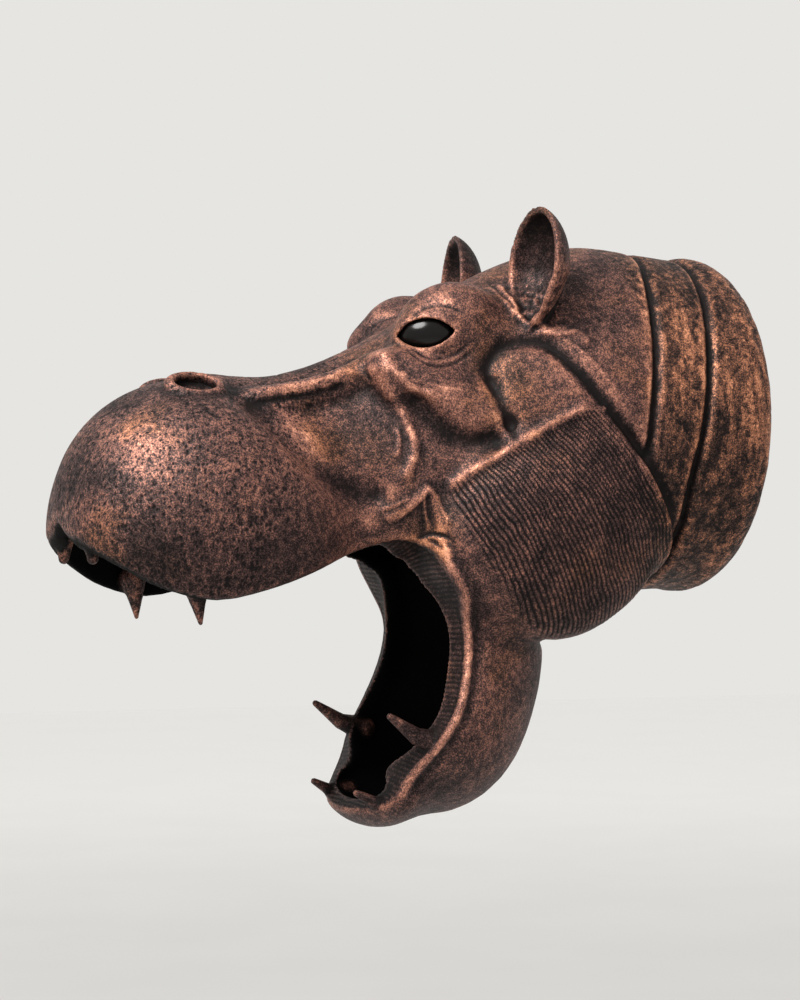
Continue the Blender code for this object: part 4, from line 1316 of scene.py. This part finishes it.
def patina():
    """Near-black brown under a thin brown film, with copper rubbed over whatever stands out, and the
    painted light and shade that the points' tone carries.
    """
    m = Nodes("copper_patina")
    fine, broad = m.attribute("fine"), m.attribute("broad")
    tone, lining = m.attribute("tone"), m.attribute("lining")
    split = m.add("ShaderNodeSeparateXYZ")
    m.join(m.place, split.inputs[0])
    y, z = split.outputs[1], split.outputs[2]
    on_neck = m.ramp(y, *NECK_START)
    on_muzzle = m.ramp(m.math("SUBTRACT", y, m.math("MULTIPLY", z, PIT_SLANT)), *MUZZLE_START)
    cloud, patch, mottle, grain = (m.noise(*layer) for layer in (CLOUD, PATCH, MOTTLE, GRAIN))
    streak = m.noise(*STREAK, stretch=STREAK_STRETCH)
    squiggle = m.math("ABSOLUTE", m.math("SUBTRACT", m.noise(*SQUIGGLE), 0.5))
    pit = m.math("MULTIPLY", m.ramp(m.dots(*DOTS), *DOT_EDGE), on_muzzle)
    wave = m.math("ABSOLUTE", m.math("SINE", m.math("MULTIPLY", m.attribute("rib"), math.pi)))
    groove = m.math("MULTIPLY", m.ramp(wave, *GROOVE_EDGE), m.attribute("ribbed"))
    amount = m.math("ADD", m.math("MULTIPLY", fine, FINE_ADDS), AMOUNT_BIAS)
    shares = (
        (broad, BROAD_ADDS),
        (tone, TONE_ADDS),
        (m.ramp(grain, *GRAIN_ADDS), 1.0),
        (m.ramp(mottle, *MOTTLE_ADDS), 1.0),
        (m.ramp(patch, *PATCH_ADDS), 1.0),
        (m.ramp(cloud, *CLOUD_ADDS), 1.0),
        (m.math("MULTIPLY", m.ramp(streak, *STREAK_ADDS), on_neck), 1.0),
        (m.math("MULTIPLY", m.ramp(squiggle, *SQUIGGLE_EDGE), on_neck), SQUIGGLE_ADDS),
        (pit, DOT_ADDS),
        (groove, GROOVE_ADDS),
        (lining, LINING_ADDS),
    )
    for value, share in shares:
        amount = m.math("ADD", amount, m.math("MULTIPLY", value, share))
    warm = m.math("MAXIMUM", on_neck, m.ramp(cloud, *WARM_CLOUD))
    base = m.mix(m.ramp(patch, *BASE_PATCH), *BASE)
    film, copper, bright = (m.mix(warm, *pair) for pair in (FILM, COPPER, BRIGHT))
    thin = m.ramp(amount, *FILM_STARTS)
    thick = m.ramp(amount, *COPPER_STARTS)
    colour = m.mix(thin, base, film)
    colour = m.mix(thick, colour, copper)
    colour = m.mix(m.ramp(amount, *BRIGHT_STARTS), colour, bright)
    colour = m.mix(m.ramp(lining, *LINING_STARTS), colour, LINING_BLACK)
    m.join(colour, m.shader.inputs["Base Color"])
    m.join(m.math("MULTIPLY", thick, COPPER_METAL), m.shader.inputs["Metallic"])
    rough = m.math("SUBTRACT", ROUGHNESS, m.math("MULTIPLY", thick, COPPER_POLISH))
    rough = m.math("ADD", rough, m.math("MULTIPLY", lining, LINING_ROUGHER), clamp=True)
    m.join(rough, m.shader.inputs["Roughness"])
    m.join(m.ramp(amount, *SPECULAR), m.shader.inputs["Specular IOR Level"])
    height = m.math("ADD", *(m.math("MULTIPLY", layer, NOISE_BUMP) for layer in (grain, mottle)))
    height = m.math("SUBTRACT", height, m.math("MULTIPLY", m.math("MAXIMUM", pit, groove), SUNK_BUMP))
    m.join(m.bump(height, *BUMP), m.shader.inputs["Normal"])
    return m.material


# The eyes: noise, its two colours, the roughness it gives, and the shine
EYE_HAZE = (60.0, 3.0, 0.5)
EYE_COLOURS = ((0.0010, 0.0010, 0.0010, 1.0), (0.0040, 0.0030, 0.0028, 1.0))
EYE_ROUGHNESS = (0.3, 0.7, 0.17, 0.24)
EYE_SHINE = 0.22


def eye_gloss():
    """Glossy black with a faint haze."""
    m = Nodes("eye_black")
    haze = m.noise(*EYE_HAZE)
    m.join(m.mix(haze, *EYE_COLOURS), m.shader.inputs["Base Color"])
    m.join(m.ramp(haze, *EYE_ROUGHNESS), m.shader.inputs["Roughness"])
    m.shader.inputs["Specular IOR Level"].default_value = EYE_SHINE
    return m.material


# The floor: height, half size, the distances over which it brightens, its unevenness, and its two colours.
# The darker middle, where the lamps light it most, is painted shade, and the paler far floor is painted
# light.
FLOOR = -1.20
FLOOR_HALF = 14.0
FLOOR_PAINTED_LIGHT_REACH = (1.0, 9.0)
FLOOR_NOISE = (2.0, 2.0, 0.5)
FLOOR_UNEVEN = (0.3, 0.7, -0.02, 0.02)
FLOOR_SHADE_AND_LIGHT_COLOURS = ((0.60, 0.59, 0.58, 1.0), (0.985, 0.98, 0.97, 1.0))
FLOOR_ROUGHNESS = 0.9


def floor_material():
    """Pale, and paler with the distance: painted shade near the middle and painted light far off, which
    even out the lamps' light.
    """
    m = Nodes("floor")
    reach = m.add("ShaderNodeVectorMath", operation="LENGTH")
    m.join(m.place, reach.inputs[0])
    uneven = m.ramp(m.noise(*FLOOR_NOISE), *FLOOR_UNEVEN)
    # Painted shade near the middle, painted light farther out
    shade = m.math("ADD", m.ramp(reach.outputs["Value"], *FLOOR_PAINTED_LIGHT_REACH), uneven)
    m.join(m.mix(shade, *FLOOR_SHADE_AND_LIGHT_COLOURS), m.shader.inputs["Base Color"])
    m.shader.inputs["Roughness"].default_value = FLOOR_ROUGHNESS
    return m.material


def make_floor():
    mesh = bpy.data.meshes.new("floor")
    form = bmesh.new()
    bmesh.ops.create_grid(form, x_segments=1, y_segments=1, size=FLOOR_HALF)
    form.to_mesh(mesh)
    form.free()
    floor = bpy.data.objects.new("floor", mesh)
    floor.location = (0.0, 0.0, FLOOR)
    bpy.context.scene.collection.objects.link(floor)
    mesh.materials.append(floor_material())


# Soft lights: position, size, watts, colour, and whether it shows in the gloss
LIGHTS = (
    ((0.70, -1.75, 1.65), 1.3, 105.0, (1.0, 0.985, 0.96), True),
    ((2.40, 0.30, 1.30), 1.4, 30.0, (1.0, 0.99, 0.98), False),
    ((-1.80, -1.50, 0.90), 1.6, 8.0, (1.0, 0.99, 0.97), False),
    ((0.30, 0.90, 2.10), 1.4, 8.0, (1.0, 1.0, 1.0), False),
)
LIGHT_AIM = (0.0, -0.30, -0.05)
WORLD_COLOUR = (0.92, 0.91, 0.885, 1.0)
WORLD_STRENGTH = 0.86


def make_lights():
    aim = Vector(LIGHT_AIM)
    for k, (place, size, watts, colour, glossy) in enumerate(LIGHTS):
        data = bpy.data.lights.new(f"soft_{k}", "AREA")
        data.energy = watts
        data.shape = "DISK"
        data.size = size
        data.color = colour
        lamp = bpy.data.objects.new(f"soft_{k}", data)
        lamp.location = place
        lamp.visible_glossy = glossy
        lamp.rotation_euler = (aim - Vector(place)).to_track_quat("-Z", "Y").to_euler()
        bpy.context.scene.collection.objects.link(lamp)
    world = bpy.data.worlds.new("studio")
    bpy.context.scene.world = world
    world.use_nodes = True
    back = world.node_tree.nodes["Background"]
    back.inputs["Color"].default_value = WORLD_COLOUR
    back.inputs["Strength"].default_value = WORLD_STRENGTH
    bpy.context.scene.view_settings.view_transform = "Standard"


# The photograph's camera: place, degrees round from straight in front, degrees up, lens and sensor in mm
CAMERA_PLACE = (1.845, -1.004, -0.123)
CAMERA_AZIMUTH = 69.0
CAMERA_PITCH = 1.52
CAMERA_LENS = 81.58
SENSOR = 36.0


def make_camera():
    data = bpy.data.cameras.new("camera")
    data.sensor_fit = "VERTICAL"
    data.sensor_height = SENSOR
    data.lens = CAMERA_LENS
    camera = bpy.data.objects.new("camera", data)
    camera.location = CAMERA_PLACE
    camera.rotation_euler = (math.radians(90.0 + CAMERA_PITCH), 0.0, math.radians(CAMERA_AZIMUTH))
    bpy.context.scene.collection.objects.link(camera)
    bpy.context.scene.camera = camera


def main():
    skin = make_skin()
    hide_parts("head")
    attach(skin, "root")
    gloss = eye_gloss()
    for side, word in ((1, "left"), (-1, "right")):
        eye = make_eye(f"eye_{word}_ball", side, gloss)
        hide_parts(f"eye_{word}")
        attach(eye, "root")
    make_floor()
    make_lights()
    make_camera()


main()
